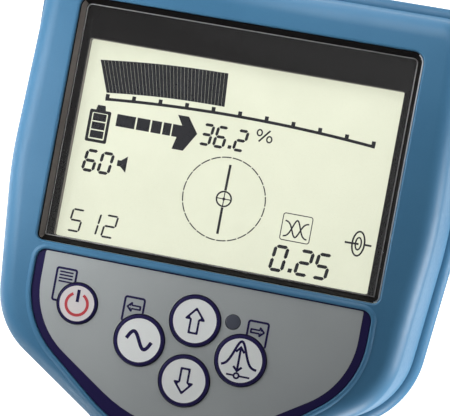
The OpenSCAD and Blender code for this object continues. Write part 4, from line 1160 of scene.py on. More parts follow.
    def build_lower(self) -> Piece:
        """Builds the lower casing with its bead, posts and screw wells.

        Returns:
            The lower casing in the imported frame.
        """
        outside = [self.bowl(turn, 0.0) for turn in shares(self.bowl_steps, QUARTER)[::-1]]
        outside += [self.bead(turn) for turn in shares(self.bead_steps, QUARTER)[-2::-1]]
        lip = [(x, v, self.seam(v) - self.seal_half) for x, v in self.rim(self.flank_inset + self.wall)]
        inside = [self.bowl(turn, self.wall) for turn in shares(self.inner_steps, QUARTER)]
        piece = loft("lower_casing_shell", outside + [lip] + inside)
        posts: list[Piece] = []
        wells: list[Piece] = []
        for x, v in self.post_places:
            top = self.seam(v) - self.post_gap
            posts.append(bar(self.post_r, (x, v, -self.depth), (x, v, top)))
            wells.append(bar(self.bore_r, (x, v, -self.depth - OVERRUN), (x, v, top - self.post_floor)))
        post = joined("posts", posts)
        carve(post, loft("bowl_core", outside), how=Cut.SHARED)
        carve(piece, post, how=Cut.JOINED)
        carve(piece, self.end_block())
        carve(piece, *wells)
        low, high = self.keel_slot
        carve(piece, box((*low, -self.depth - OVERRUN), (*high, -self.depth + self.wall + BITE)))
        bevel_where(piece, self.seam_bevel, self.rims_seam)
        return complete(piece, "blue_plastic", ["lower_casing"])

    def build_seal(self) -> Piece:
        """Builds the rubber seal in the seam.

        Returns:
            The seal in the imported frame.
        """
        rings: list[Ring] = []
        for inset, up in ((self.seal_inset, -1), (self.seal_inset, 1), (self.wall, 1), (self.wall, -1)):
            rim = self.rim(self.flank_inset + inset)
            rings.append([(x, v, self.seam(v) + up * self.seal_half) for x, v in rim])
        piece = loft("seam_seal", rings, Ends.LOOPED)
        carve(piece, self.end_block())
        return complete(piece, "blue_rubber", ["casing_seal"])

    def build(self) -> list[Piece]:
        """Builds the four pieces of the head."""
        return [self.build_top(), self.build_surround(), self.build_lower(), self.build_seal()]


@dataclass
class Display:
    """The window frame, the lens, the screen and the marks on it."""

    window: tuple[Flat, ...] = Head.window
    window_radii: tuple[float, ...] = Head.window_radii
    chords: int = 8
    gap: float = 0.1
    frame_low: float = -7.2
    frame_high: float = -0.9
    brow: Flat = (0.45, 0.15)
    lip: float = 1.5
    lip_curl: Flat = (0.12, 0.1)
    lens_high: float = -2.8
    lens_low: float = -4.4
    lens_bevel: float = 0.3
    lens_foot: float = 0.2
    opening: Flat = (45.2, 28.5)
    opening_r: float = 0.6
    opening_bevel: float = 0.25
    wall_seek: float = 0.1
    bevel_seek: float = 0.01
    screen_half: Flat = (48.0, 31.3)
    screen_r: float = 0.8
    screen_chords: int = 4
    screen_foot: float = 0.3
    screen_bevel: float = 0.2
    screen_high: float = -7.3
    screen_low: float = -9.7
    ink_sink: float = 0.02
    ink_high: float = -7.27

    def window_ring(self, inset: float, height: float) -> Ring:
        """Gives a ring along the window's outline, moved in and at a height."""
        return level(rounded(self.window, self.window_radii, inset, self.chords), height)

    def opening_ring(self, height: float, grow: float = 0.0) -> Ring:
        """Gives a ring along the screen's opening at a height."""
        corners = centred((self.opening[0] + grow, self.opening[1] + grow))
        return level(rounded(corners, [self.opening_r] * 4, 0.0, self.chords), height)

    def build_frame(self) -> Piece:
        """Builds the dark frame, whose lip slopes down to the lens.

        Returns:
            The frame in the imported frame.
        """
        rings = [
            self.window_ring(self.gap, self.frame_low),
            self.window_ring(self.gap, self.frame_high),
            self.window_ring(self.brow[0], self.frame_high + self.brow[1]),
            self.window_ring(self.lip - self.lip_curl[0], self.lens_high + self.lip_curl[1]),
            self.window_ring(self.lip, self.lens_high - self.lip_curl[1]),
            self.window_ring(self.lip, self.lens_low),
            self.opening_ring(self.lens_low, self.opening_bevel),
            self.opening_ring(self.lens_low - self.opening_bevel),
            self.opening_ring(self.frame_low),
        ]
        piece = loft("display_frame", rings, Ends.LOOPED)
        complete(piece, "dark_frame", ["window_frame"], smooth=Smooth.FIRM)
        low, high = self.frame_low + self.wall_seek, self.lens_low - self.opening_bevel - self.bevel_seek
        reach = [half + self.wall_seek for half in self.opening]
        outer = self.window[0][0] - self.lip

        def on_wall(spot: Vector) -> bool:
            """Tells whether a place is on the wall round the screen or on the lip's left slope."""
            beside = low < spot.z < high and abs(spot.x) < reach[0] and abs(spot.y) < reach[1]
            return beside or spot.x < -outer and self.lens_high < spot.z < self.frame_high

        # The wall round the screen and the lip's left slope are painted lighter: painted light on a dark frame
        paint_where(piece, "painted_wall_light", on_wall)
        # The frame's right outer edge is painted pale: a painted highlight
        paint_where(piece, "painted_edge_glint", lambda spot: spot.x > outer and spot.z > self.frame_high)
        return piece

    def build_lens(self) -> Piece:
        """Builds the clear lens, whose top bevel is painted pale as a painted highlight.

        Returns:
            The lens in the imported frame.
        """
        inset = self.lip + self.gap
        rings = [
            self.window_ring(inset + self.lens_foot, self.lens_low),
            self.window_ring(inset, self.lens_low + self.lens_foot),
            self.window_ring(inset, self.lens_high - self.lens_bevel),
            self.window_ring(inset + self.lens_bevel, self.lens_high),
        ]
        piece = loft("display_glazing", rings)
        complete(piece, "clear_lens", ["display_lens"], smooth=Smooth.CRISP)
        low, high = self.lens_high - self.lens_bevel, self.lens_high - self.bevel_seek
        # The lens's top bevel is painted pale: a painted highlight
        paint_where(piece, "painted_edge_glint", lambda spot: low < spot.z < high)
        return piece

    def build_screen(self) -> Piece:
        """Builds the screen glass with ground edges.

        Returns:
            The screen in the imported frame.
        """
        profile = (
            (self.screen_foot, self.screen_low),
            (0.0, self.screen_low + self.screen_foot),
            (0.0, self.screen_high - self.screen_bevel),
            (self.screen_bevel, self.screen_high),
        )
        corners, radii = centred(self.screen_half), [self.screen_r] * 4
        rings = [level(rounded(corners, radii, inset, self.screen_chords), z) for inset, z in profile]
        piece = loft("reading_screen", rings)
        # The screen's finish glows: painted light standing in for light falling on it
        return complete(piece, "screen_cream", ["screen_glass"], smooth=Smooth.FIRM)

    def build_ink(self) -> Piece:
        """Builds the dark marks of the reading.

        Returns:
            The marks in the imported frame.
        """
        low = self.screen_high - self.ink_sink
        piece = flat_marks("screen_marks", ScreenMarks().marks(), low, self.ink_high)
        settle(piece, HEAD_PLACE)
        return hand_over(piece, "segment_ink")

    def build(self) -> list[Piece]:
        """Builds the four pieces of the display."""
        return [self.build_frame(), self.build_lens(), self.build_screen(), self.build_ink()]


@dataclass
class ScreenMarks:
    """The marks on the screen: bar fan, scale, pointer, dial, icons and plain numbers."""

    segments: tuple[tuple[str, str], ...] = (
        ("0", "abcdef"), ("1", "bc"), ("2", "abged"), ("3", "abgcd"), ("4", "fgbc"),
        ("5", "afgcd"), ("6", "afgedc"), ("7", "abc"), ("8", "abcdefg"), ("9", "abcdfg"),
    )
    numbers: tuple[tuple[str, Flat, Flat, float, float], ...] = (
        ("36.2", (-9.3, 4.5), (2.7, 5.6), 0.82, 4.1),
        ("60", (-41.2, -8.7), (3.0, 5.7), 0.88, 4.6),
        ("512", (-42.2, -26.5), (3.2, 6.2), 0.55, 5.0),
        ("0.25", (16.9, -26.6), (3.4, 6.7), 0.95, 5.1),
    )
    slant: float = 0.12
    segment_gap: float = 0.12
    segment_taper: float = 0.5
    dot_size: float = 1.2
    dot_pitch: float = 0.42
    bar_count: int = 35
    bar_fill: float = 0.96
    bar_lows: tuple[Flat, Flat] = ((-38.3, 14.0), (-4.0, 15.9))
    bar_highs: tuple[Flat, Flat] = ((-41.8, 23.0), (-4.65, 25.4))
    bar_bow: float = 0.55
    scale_ends: Flat = (-38.3, 39.7)
    scale_top: Flat = (0.6, 13.9)
    scale_half: float = 38.4
    scale_bow: float = 1.7
    scale_line: float = 0.85
    scale_steps: int = 40
    tick_ends: Flat = (-37.8, 39.2)
    tick_half: float = 0.55
    tick_height: float = 1.5
    tick_steps: int = 10
    battery: tuple[Flat, Flat] = ((-42.1, -0.5), (-35.8, 8.8))
    battery_r: float = 0.5
    battery_line: float = 0.85
    battery_knob: tuple[Flat, ...] = ((-40.4, 8.7), (-37.5, 8.7), (-37.8, 10.2), (-40.1, 10.2))
    charge_ends: Flat = (-40.9, -37.0)
    charge_lows: tuple[float, ...] = (0.75, 3.2, 5.65)
    charge_height: float = 2.1
    shaft_heights: Flat = (5.1, 8.6)
    shaft_blocks: tuple[Flat, ...] = ((-34.0, -28.5), (-28.0, -24.2), (-23.7, -20.8), (-20.3, -18.0))
    arrow_head: tuple[Flat, ...] = (
        (-17.6, 5.1), (-16.0, 5.1), (-16.8, 1.6), (-13.5, 1.6), (-10.3, 7.0),
        (-13.5, 11.4), (-16.7, 11.4), (-15.0, 8.6), (-17.6, 8.6),
    )
    dial_at: Flat = (0.6, -9.7)
    dial_r: float = 11.8
    dial_line: float = 0.32
    dash_count: int = 24
    dash_fill: float = 0.88
    dash_steps: int = 6
    needle_top: tuple[Flat, Flat] = ((0.1, 9.8), (0.0, 2.4))
    needle_foot: tuple[Flat, Flat] = ((0.0, -2.4), (0.0, -10.0))
    needle_line: float = 0.7
    hub_r: float = 2.1
    hub_line: float = 0.45
    hub_cross: tuple[Flat, ...] = (
        (2.0, 0.14), (0.45, 0.14), (0.14, 0.45), (0.14, 2.0),
        (-0.14, 2.0), (-0.14, 0.45), (-0.45, 0.14), (-2.0, 0.14),
    )
    sound_sign: tuple[Flat, ...] = (
        (-31.5, -6.0), (-30.5, -6.0), (-28.7, -7.5), (-28.7, -2.8), (-30.5, -4.3), (-31.5, -4.3),
    )
    curve_case: tuple[Flat, Flat] = ((18.0, -18.0), (26.6, -10.2))
    curve_case_r: float = 0.8
    curve_case_line: float = 0.26
    curve_ends: Flat = (18.9, 25.7)
    curve_middle: float = 22.3
    curve_spread: float = 1.5
    curve_swells: tuple[Flat, ...] = ((-16.8, 4.9), (-12.4, -4.3))
    curve_line: float = 0.42
    curve_steps: int = 24
    hoops: tuple[tuple[Flat, float, float, float, int], ...] = (
        ((40.1, -15.1), 1.7, 3.4, 0.5, 40), ((40.1, -15.1), 0.8, 1.7, 0.45, 40),
        ((7.2, 10.5), 0.7, 0.85, 0.42, 20), ((10.2, 9.0), 0.7, 0.85, 0.42, 20),
    )
    dashes: tuple[tuple[Flat, Flat, float], ...] = (
        ((36.3, -15.3), (40.2, -15.2), 0.55),
        ((42.0, -15.1), (43.8, -15.1), 0.55),
        ((7.3, 8.0), (10.1, 11.5), 0.5),
    )

    def digit(self, sign: str, at: Flat, size: Flat, width: float) -> list[Mark]:
        """Draws one plain seven-bar digit or a point.

        Args:
            sign: A digit, or a full stop.
            at: Its lower left corner.
            size: Its width and height.
            width: Width of a bar.

        Returns:
            A mark for each bar.
        """
        w, h = size
        ends = {
            "a": ((0.0, h), (w, h)), "g": ((0.0, h / 2), (w, h / 2)), "d": ((0.0, 0.0), (w, 0.0)),
            "f": ((0.0, h / 2), (0.0, h)), "b": ((w, h / 2), (w, h)),
            "e": ((0.0, 0.0), (0.0, h / 2)), "c": ((w, 0.0), (w, h / 2)),
        }
        outlines: list[Sequence[Sequence[float]]] = []
        if sign == ".":
            outlines.append(oblong((0.0, 0.0), (width * self.dot_size, width * self.dot_size)))
        for letter in dict(self.segments).get(sign, ""):
            start, end = (Vector(p) for p in ends[letter])
            way = (end - start).normalized()
            side = Vector((-way.y, way.x)) * width / 2
            near, far = start + way * width * self.segment_gap, end - way * width * self.segment_gap
            taper = way * width * self.segment_taper
            start, end = near + taper, far - taper
            outlines.append([near, start - side, end - side, far, end + side, start + side])
        return [[[(at[0] + x + self.slant * y, at[1] + y) for x, y in outline]] for outline in outlines]

    def number(self, text: str, at: Flat, size: Flat, width: float, pitch: float) -> list[Mark]:
        """Draws a row of digits.

        Args:
            text: Digits and full stops.
            at: Lower left corner of the row.
            size: Width and height of a digit.
            width: Width of a bar.
            pitch: Step from digit to digit.

        Returns:
            The marks.
        """
        marks: list[Mark] = []
        x = at[0]
        for sign in text:
            marks += self.digit(sign, (x, at[1]), size, width)
            x += pitch * self.dot_pitch if sign == "." else pitch
        return marks

    def bar_corner(self, ends: tuple[Flat, Flat], t: float) -> Flat:
        """Gives a point of the bar fan's bowed lower or upper edge."""
        x, y = between(*ends, t)
        return x, y + self.bar_bow * math.sin(math.pi * t)

    def scale_height(self, x: float) -> float:
        """Gives the height of the bowed scale line."""
        return self.scale_top[1] - self.scale_bow * ((x - self.scale_top[0]) / self.scale_half) ** 2

    def bars(self) -> list[Mark]:
        """Draws the fan of level bars and the scale under it.

        Returns:
            The marks.
        """
        marks: list[Mark] = []
        for i in range(self.bar_count):
            near, far = [(i + fill) / self.bar_count for fill in (0.0, self.bar_fill)]
            low = [self.bar_corner(self.bar_lows, t) for t in (near, far)]
            high = [self.bar_corner(self.bar_highs, t) for t in (far, near)]
            marks.append([low + high])
        line = [lerp(*self.scale_ends, t) for t in shares(self.scale_steps)]
        marks.append(stroke([(x, self.scale_height(x)) for x in line], self.scale_line))
        for x in [lerp(*self.tick_ends, t) for t in shares(self.tick_steps)]:
            y = self.scale_height(x)
            marks.append([oblong((x - self.tick_half, y), (x + self.tick_half, y + self.tick_height))])
        return marks

    def pointer(self) -> list[Mark]:
        """Draws the battery sign and the arrow made of blocks.

        Returns:
            The marks.
        """
        left, right = self.charge_ends
        low, high = self.shaft_heights
        marks = [outlined(oblong(*self.battery), self.battery_r, self.battery_line)]
        marks.append([list(self.battery_knob)])
        marks += [[oblong((left, y), (right, y + self.charge_height))] for y in self.charge_lows]
        marks += [[oblong((start, low), (end, high))] for start, end in self.shaft_blocks]
        return marks + [[list(self.arrow_head)]]

    def dial(self) -> list[Mark]:
        """Draws the broken dial line with its needle and hub.

        Returns:
            The marks.
        """
        x, y = self.dial_at
        step = 360 / self.dash_count
        marks: list[Mark] = []
        for i in range(self.dash_count):
            end = (i + self.dash_fill) * step
            arc = arc_points(self.dial_at, self.dial_r, i * step, end, self.dash_steps)
            marks.append(stroke(arc, self.dial_line))
        for needle in (self.needle_top, self.needle_foot):
            marks.append(stroke([(x + a, y + b) for a, b in needle], self.needle_line))
        marks.append(hoop(self.dial_at, self.hub_r, self.hub_r, self.hub_line))
        marks.append([[(x + flip * a, y + flip * b) for flip in (1, -1) for a, b in self.hub_cross]])
        return marks

    def icons(self) -> list[Mark]:
        """Draws the sound, curve and ring signs and the percent sign.

        Returns:
            The marks.
        """
        marks: list[Mark] = [[list(self.sound_sign)]]
        marks.append(outlined(oblong(*self.curve_case), self.curve_case_r, self.curve_case_line))
        spread = [lerp(*self.curve_ends, t) for t in shares(self.curve_steps)]
        swell = [math.exp(-(((x - self.curve_middle) / self.curve_spread) ** 2)) for x in spread]
        for base, rise in self.curve_swells:
            marks.append(stroke([(x, base + rise * y) for x, y in zip(spread, swell)], self.curve_line))
        marks += [hoop(*values) for values in self.hoops]
        return marks + [stroke((start, end), width) for start, end, width in self.dashes]

    def marks(self) -> list[Mark]:
        """Draws every mark on the screen."""
        digits = [mark for values in self.numbers for mark in self.number(*values)]
        return self.bars() + self.pointer() + self.dial() + self.icons() + digits


@dataclass
class Keypad:
    """The keypad: navy sheet, grey print, five keys and the signs on them."""

    sheet_profile: tuple[Flat, ...] = ((0.02, -1.3), (0.02, -0.35), (0.22, -0.2))
    film: tuple[Flat, ...] = ((45.4, -33.0), (-45.4, -33.0), (-45.4, -53.6), (0.0, -83.4), (45.4, -53.6))
    film_radii: tuple[float, ...] = (0.5, 0.5, 23.0, 40.0, 23.0)
    film_chords: int = 14
    film_heights: Flat = (-0.25, -0.12)
    print_heights: Flat = (-0.15, -0.08)
    print_line: float = 0.6
    print_facets: int = 48
    print_r: float = 0.9
    page: tuple[Flat, Flat] = ((-41.5, -46.6), (-35.2, -36.8))
    page_r: float = 0.8
    page_ends: Flat = (-40.3, -36.4)
    page_rows: tuple[float, ...] = (-38.1, -39.0, -39.9, -40.8)
    page_row_line: float = 0.44
    tab: tuple[Flat, Flat] = ((-20.8, -48.6), (-14.6, -41.1))
    tab_arrow: tuple[Flat, ...] = (
        (-19.9, -44.1), (-18.1, -45.9), (-18.1, -44.8), (-15.6, -44.8),
        (-15.6, -43.4), (-18.1, -43.4), (-18.1, -42.3),
    )
    tab_arrow_line: float = 0.46
    arrow_r: float = 0.05
    holes: tuple[Spot, ...] = Head.key_holes
    hole_low: float = -4.0
    facets: int = 64
    sensor_profile: tuple[Flat, ...] = (
        (2.1, -7.4), (2.1, -0.3), (2.0, -0.17), (1.7, -0.1), (1.0, -0.06), (0.3, -0.05),
    )
    key_top: float = 0.5
    key_stem: tuple[Flat, ...] = ((2.0, -6.0), (2.0, -4.2))
    key_flange: tuple[Flat, ...] = ((0.75, -4.2), (0.75, -3.3), (0.0, -3.3))
    key_rim: tuple[Flat, ...] = ((0.0, 0.45), (0.06, 0.26), (0.2, 0.1), (0.42, 0.02), (0.7, 0.0))
    key_dish: tuple[Spot, ...] = (
        (1.0, -0.04, 0.0), (1.0, 0.0, 0.03), (1.0, 0.06, 0.06), (0.5, 0.0, 0.06), (0.2, 0.0, 0.06),
    )
    face_seek: float = 0.02
    sign_heights: Flat = (0.42, 0.47)
    key_gap: float = 0.3
    # Each key's node and the width of its ring, in the order of the holes
    keys: tuple[tuple[str, float], ...] = (
        ("power_key", 0.75), ("frequency_key", 1.02), ("up_key", 1.02), ("down_key", 1.02),
        ("peak_key", 1.02),
    )
    power_arc: tuple[Flat, float, float, float, int] = ((0.0, -0.2), 3.1, 118.0, 422.0, 30)
    power_line: float = 0.8
    power_bar: tuple[Flat, Flat] = ((0.0, 0.4), (0.0, 3.9))
    power_bar_line: float = 0.9
    arrow: tuple[Flat, ...] = (
        (0.0, 3.9), (-3.1, 0.2), (-1.45, 0.2), (-1.45, -3.7), (1.45, -3.7), (1.45, 0.2), (3.1, 0.2),
    )
    arrow_line: float = 0.58
    wave: Flat = (3.6, 2.3)
    wave_line: float = 1.0
    wave_steps: int = 28
    bell_ends: Flat = (-5.1, 4.9)
    bell_foot: Flat = (-0.4, -1.9)
    bell_size: Flat = (2.3, 7.2)
    bell_line: float = 0.68
    bell_steps: int = 30
    bell_arrow: tuple[tuple[Flat, ...], ...] = (
        ((-0.4, 3.3), (-0.4, -2.8)),
        ((-1.6, 2.2), (-0.4, 3.6), (0.8, 2.2)),
        ((-1.6, -1.8), (-0.4, -3.0), (0.8, -1.8)),
    )
    bell_arrow_line: float = 0.62
    bell_floor: tuple[tuple[Flat, Flat], ...] = (((-3.2, -4.3), (-1.2, -4.3)), ((0.5, -4.3), (3.4, -4.3)))
    bell_floor_line: float = 0.5
    bell_dot: tuple[Flat, float, float, float, int] = ((-0.35, -4.3), 0.72, 0.72, 0.52, 20)

    def hole_cuts(self, facets: int) -> list[Piece]:
        """Makes the cutters of the key holes."""
        return [prism("hole", circle(r, facets), self.hole_low, OVERRUN, (x, v)) for x, v, r in self.holes]

    def build_sheet(self) -> Piece:
        """Builds the navy sheet in its bed.

        Returns:
            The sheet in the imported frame.
        """
        rings = [level(Head().sheet_rim(inset), height) for inset, height in self.sheet_profile]
        piece = loft("keypad_membrane", rings)
        carve(piece, *self.hole_cuts(self.facets))
        return complete(piece, "navy_print", ["keypad_sheet"], smooth=Smooth.SOFT)

    def build_film(self) -> Piece:
        """Builds the grey field printed on the sheet.

        Returns:
            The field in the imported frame.
        """
        outline = rounded(self.film, self.film_radii, steps=self.film_chords)
        piece = prism("keypad_field", outline, *self.film_heights)
        carve(piece, *self.hole_cuts(self.facets))
        return complete(piece, "keypad_grey")

    def build_key(self, node: str, ring: float, x: float, v: float, hole: float) -> Piece:
        """Builds one key with a navy ring round a pale face.

        Args:
            node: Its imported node, which is also its body.
            ring: Width of its navy ring.
            x: Its place across the head.
            v: Its place up the display.
            hole: Radius of its hole.

        Returns:
            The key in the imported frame.
        """
        radius = hole - self.key_gap
        edge = radius - ring
        profile = list(self.key_stem)
        profile += [(radius + out, height) for out, height in self.key_flange]
        profile += [(radius - inset, self.key_top - drop) for inset, drop in self.key_rim]
        profile += [(edge * share - inset, self.key_top - drop) for share, inset, drop in self.key_dish]
        piece = turned(node + "_cap", profile, (x, v), self.facets)
        complete(piece, "navy_print", [node], node, smooth=Smooth.ROUND)
        face = "rose_key" if node == "power_key" else "key_rubber"
        reach = edge + self.face_seek
        paint_where(piece, face, lambda spot: math.hypot(spot.x - x, spot.y - v) < reach and spot.z > 0)
        return piece

    def sign(self, node: str) -> dict[str, list[Mark]]:
        """Gives the marks on a key about its middle, by finish.

        Args:
            node: The key's node.

        Returns:
            Marks for each finish.
        """
        if node == "power_key":
            ring = stroke(arc_points(*self.power_arc), self.power_line)
            return {"red_print": [ring], "navy_print": [stroke(self.power_bar, self.power_bar_line)]}
        if node in ("up_key", "down_key"):
            flip = 1 if node == "up_key" else -1
            loop = [(x, flip * y) for x, y in self.arrow][::flip]
            return {"navy_print": [outlined(loop, self.arrow_r, self.arrow_line)]}
        if node == "frequency_key":
            half, rise = self.wave
            steps = shares(self.wave_steps)
            wave = [(lerp(-half, half, t), rise * math.sin(2 * math.pi * t)) for t in steps]
            return {"navy_print": [stroke(wave, self.wave_line)]}
        (middle, foot), (spread, rise) = self.bell_foot, self.bell_size
        places = [lerp(*self.bell_ends, t) for t in shares(self.bell_steps)]
        bell = [(x, foot + rise * math.exp(-(((x - middle) / spread) ** 2))) for x in places]
        marks = [stroke(bell, self.bell_line)]
        marks += [stroke(line, self.bell_arrow_line) for line in self.bell_arrow]
        marks += [stroke(line, self.bell_floor_line) for line in self.bell_floor]
        return {"navy_print": marks + [hoop(*self.bell_dot)]}

    def build_signs(self) -> list[Piece]:
        """Builds the signs on the keys, which move with them.

        Returns:
            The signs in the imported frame.
        """
        made: list[Piece] = []
        for (node, _), (x, v, _) in zip(self.keys, self.holes):
            for finish, marks in self.sign(node).items():
                placed = [[[(x + a, v + b) for a, b in loop] for loop in mark] for mark in marks]
                piece = flat_marks(f"{node}_{finish}", placed, *self.sign_heights)
                settle(piece, HEAD_PLACE)
                made.append(hand_over(piece, finish, body=node))
        return made

    def build_prints(self) -> Piece:
        """Builds the page and tab signs printed beside the keys.

        Returns:
            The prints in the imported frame.
        """
        left, right = self.page_ends
        marks = [outlined(oblong(*self.page), self.page_r, self.print_line)]
        marks += [stroke([(left, y), (right, y)], self.page_row_line) for y in self.page_rows]
        for flip in (1, -1):
            loops = (oblong(*self.tab), self.tab_arrow)
            tab, arrow = [[(flip * x, y) for x, y in loop][::flip] for loop in loops]
            marks.append(outlined(tab, self.print_r, self.print_line))
            marks.append(outlined(arrow, self.arrow_r, self.tab_arrow_line))
        piece = flat_marks("keypad_prints", marks, *self.print_heights)
        carve(piece, *self.hole_cuts(self.print_facets))
        settle(piece, HEAD_PLACE)
        return hand_over(piece, "navy_print")

    def build_sensor(self) -> Piece:
        """Builds the domed light sensor."""
        piece = turned("sensor_dome", self.sensor_profile, self.holes[-1][:2])
        return complete(piece, "sensor_dark", ["light_sensor"], smooth=Smooth.ROUND)

    def build(self) -> list[Piece]:
        """Builds the sheet, its print, the keys, their signs and the sensor."""
        made = [self.build_sheet(), self.build_film(), self.build_prints(), self.build_sensor()]
        keys = [self.build_key(*key, *hole) for key, hole in zip(self.keys, self.holes)]
        return made + keys + self.build_signs()


@dataclass
class Neck:
    """The neck under the head: two half shells with a grille, a socket panel and screw wells."""

    base: float = 322.0
    half: float = 24.0
    half_depth: float = 37.0
    front_y: float = 46.241
    rear_y: float = -65.40
    flare: int = 4
    under: Flat = (28.443, 565.841)
    wall: float = 3.0
    steps: int = 26
    edge: float = 0.45
    screws: tuple[Flat, ...] = ((22.2, 400.5), (-18.5, 420.2), (24.05, 530.1), (-38.1, 492.0))
    well_r: float = 3.5
    well_bevel: float = 0.3
    well_seek: float = 0.25
    skin: float = 0.6
    bolts: tuple[Flat, ...] = ((16.0, 335.0), (-16.0, 335.0))
    bolt_r: float = 3.7
    bolt_sink: float = 1.2
    cut_out: float = 3.0
    arm_z: float = 368.0
    arm_r: float = 15.1
    arm_start: float = -45.0
    arm_facets: int = 64
    panel_half: Flat = (15.1, 23.1)
    panel_z: float = 476.0
    panel_depths: Flat = (29.03, 60.0)
    speaker_at: Flat = (-1.509, 445.665)
    speaker_front: float = 19.06
    grille_r: float = 1.1
    grille_pitch: float = 4.2
    grille_rings: int = 2
    grille_first: int = 6
    grille_facets: int = 20
    nodes: tuple[tuple[str, float, str], ...] = (
        ("socket_panel", 0.6, "dark_plastic"),
        ("accessory_socket", 0.35, "nickel"),
        ("headphone_socket", 0.35, "dark_plastic"),
        ("blade_seal", 0.4, "black_rubber"),
    )

    def under_z(self, y: float) -> float:
        """Gives the height of the head's underside at a depth."""
        return self.under[1] + (y - self.under[0]) * math.tan(HEAD_TILT)

    def reach(self, t: float) -> Flat:
        """Gives the reach of the neck's section.

        Args:
            t: Share of the way up.

        Returns:
            The section's middle and half depth.
        """
        front = lerp(self.half_depth, self.front_y, t**self.flare)
        rear = lerp(-self.half_depth, self.rear_y, t**self.flare)
        return (front + rear) / 2, (front - rear) / 2

    def side(self, y: float, z: float, inset: float) -> float:
        """Gives the half width of the neck at a point of its middle plane.

        Args:
            y: The point's depth.
            z: The point's height.
            inset: How far inside the outer skin.

        Returns:
            The half width.
        """
        middle, reach = self.reach((z - self.base) / (self.under_z(y) - self.base))
        off = min(1.0, abs(y - middle) / (reach - inset))
        return (self.half - inset) * (1 - off**OVAL_POWER) ** (1 / OVAL_POWER)

    def ring(self, t: float, side: Side) -> Ring:
        """Gives the section of one half shell.

        Args:
            t: Share of the way up.
            side: Which half.

        Returns:
            The ring.
        """
        middle, reach = self.reach(t)
        section = [(side.value * x, middle + h) for x, h in half_oval(self.half, reach, self.wall)]
        return [(x, y, lerp(self.base, self.under_z(y), t)) for x, y in section]

    def grille(self) -> list[Flat]:
        """Gives the places of the speaker grille's holes, in rings about a middle one.

        Returns:
            The Y and Z of each hole.
        """
        spots = [self.speaker_at]
        for ring in range(1, self.grille_rings + 1):
            radius, count = ring * self.grille_pitch, ring * self.grille_first
            spots += arc_points(self.speaker_at, radius, 0.0, 360.0, count)[:-1]
        return spots

    def build_shell(self, side: Side) -> Piece:
        """Builds one half shell.

        Args:
            side: Which half.

        Returns:
            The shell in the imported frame.
        """
        name = side.name.lower()
        piece = loft(f"{name}_neck_half", [self.ring(t, side) for t in shares(self.steps)])
        bevel_where(piece, self.edge, on_split)
        out = side.value * (self.half + self.cut_out)
        cuts = [bar(self.arm_r, (0.0, self.arm_start, self.arm_z), (0.0, 0.0, self.arm_z), self.arm_facets)]
        (x, z), (back, front) = self.panel_half, self.panel_depths
        cuts.append(box((-x, back, self.panel_z - z), (x, front, self.panel_z + z)))
        for y, z in self.bolts:
            cuts.append(bar(self.bolt_r, (side.value * self.side(y, z, self.bolt_sink), y, z), (out, y, z)))
        if side is Side.RIGHT:
            for y, z in self.screws:
                cuts.append(bar(self.well_r, (self.side(y, z, self.wall) - BITE, y, z), (out, y, z)))
            for y, z in self.grille():
                cuts.append(bar(self.grille_r, (self.speaker_front, y, z), (out, y, z), self.grille_facets))
        carve(piece, *cuts)
        bevel_where(piece, self.well_bevel, self.rims_well)
        return complete(piece, "blue_plastic", [f"{name}_neck_shell"], place=BODY_PLACE)

    def rims_well(self, edge: Edge) -> bool:
        """Tells whether an edge rims a screw or bolt well on the outside.

        Args:
            edge: An edge of a shell.

        Returns:
            Whether it does.
        """
        middle = (edge.verts[0].co + edge.verts[1].co) / 2
        if abs(middle.x) < self.side(middle.y, middle.z, self.skin):
            return False
        radius = (self.well_r + self.bolt_r) / 2
        offs = [math.hypot(middle.y - y, middle.z - z) - radius for y, z in self.screws + self.bolts]
        return any(abs(off) < self.well_seek for off in offs)

    def build(self) -> list[Piece]:
        """Builds both shells, and finishes the panel, sockets and screws in them."""
        made = [self.build_shell(side) for side in Side] + [finish_node(*values) for values in self.nodes]
        return made + [finish_screws("neck_screws"), finish_screws("blade_bolts", both_ends=True)]


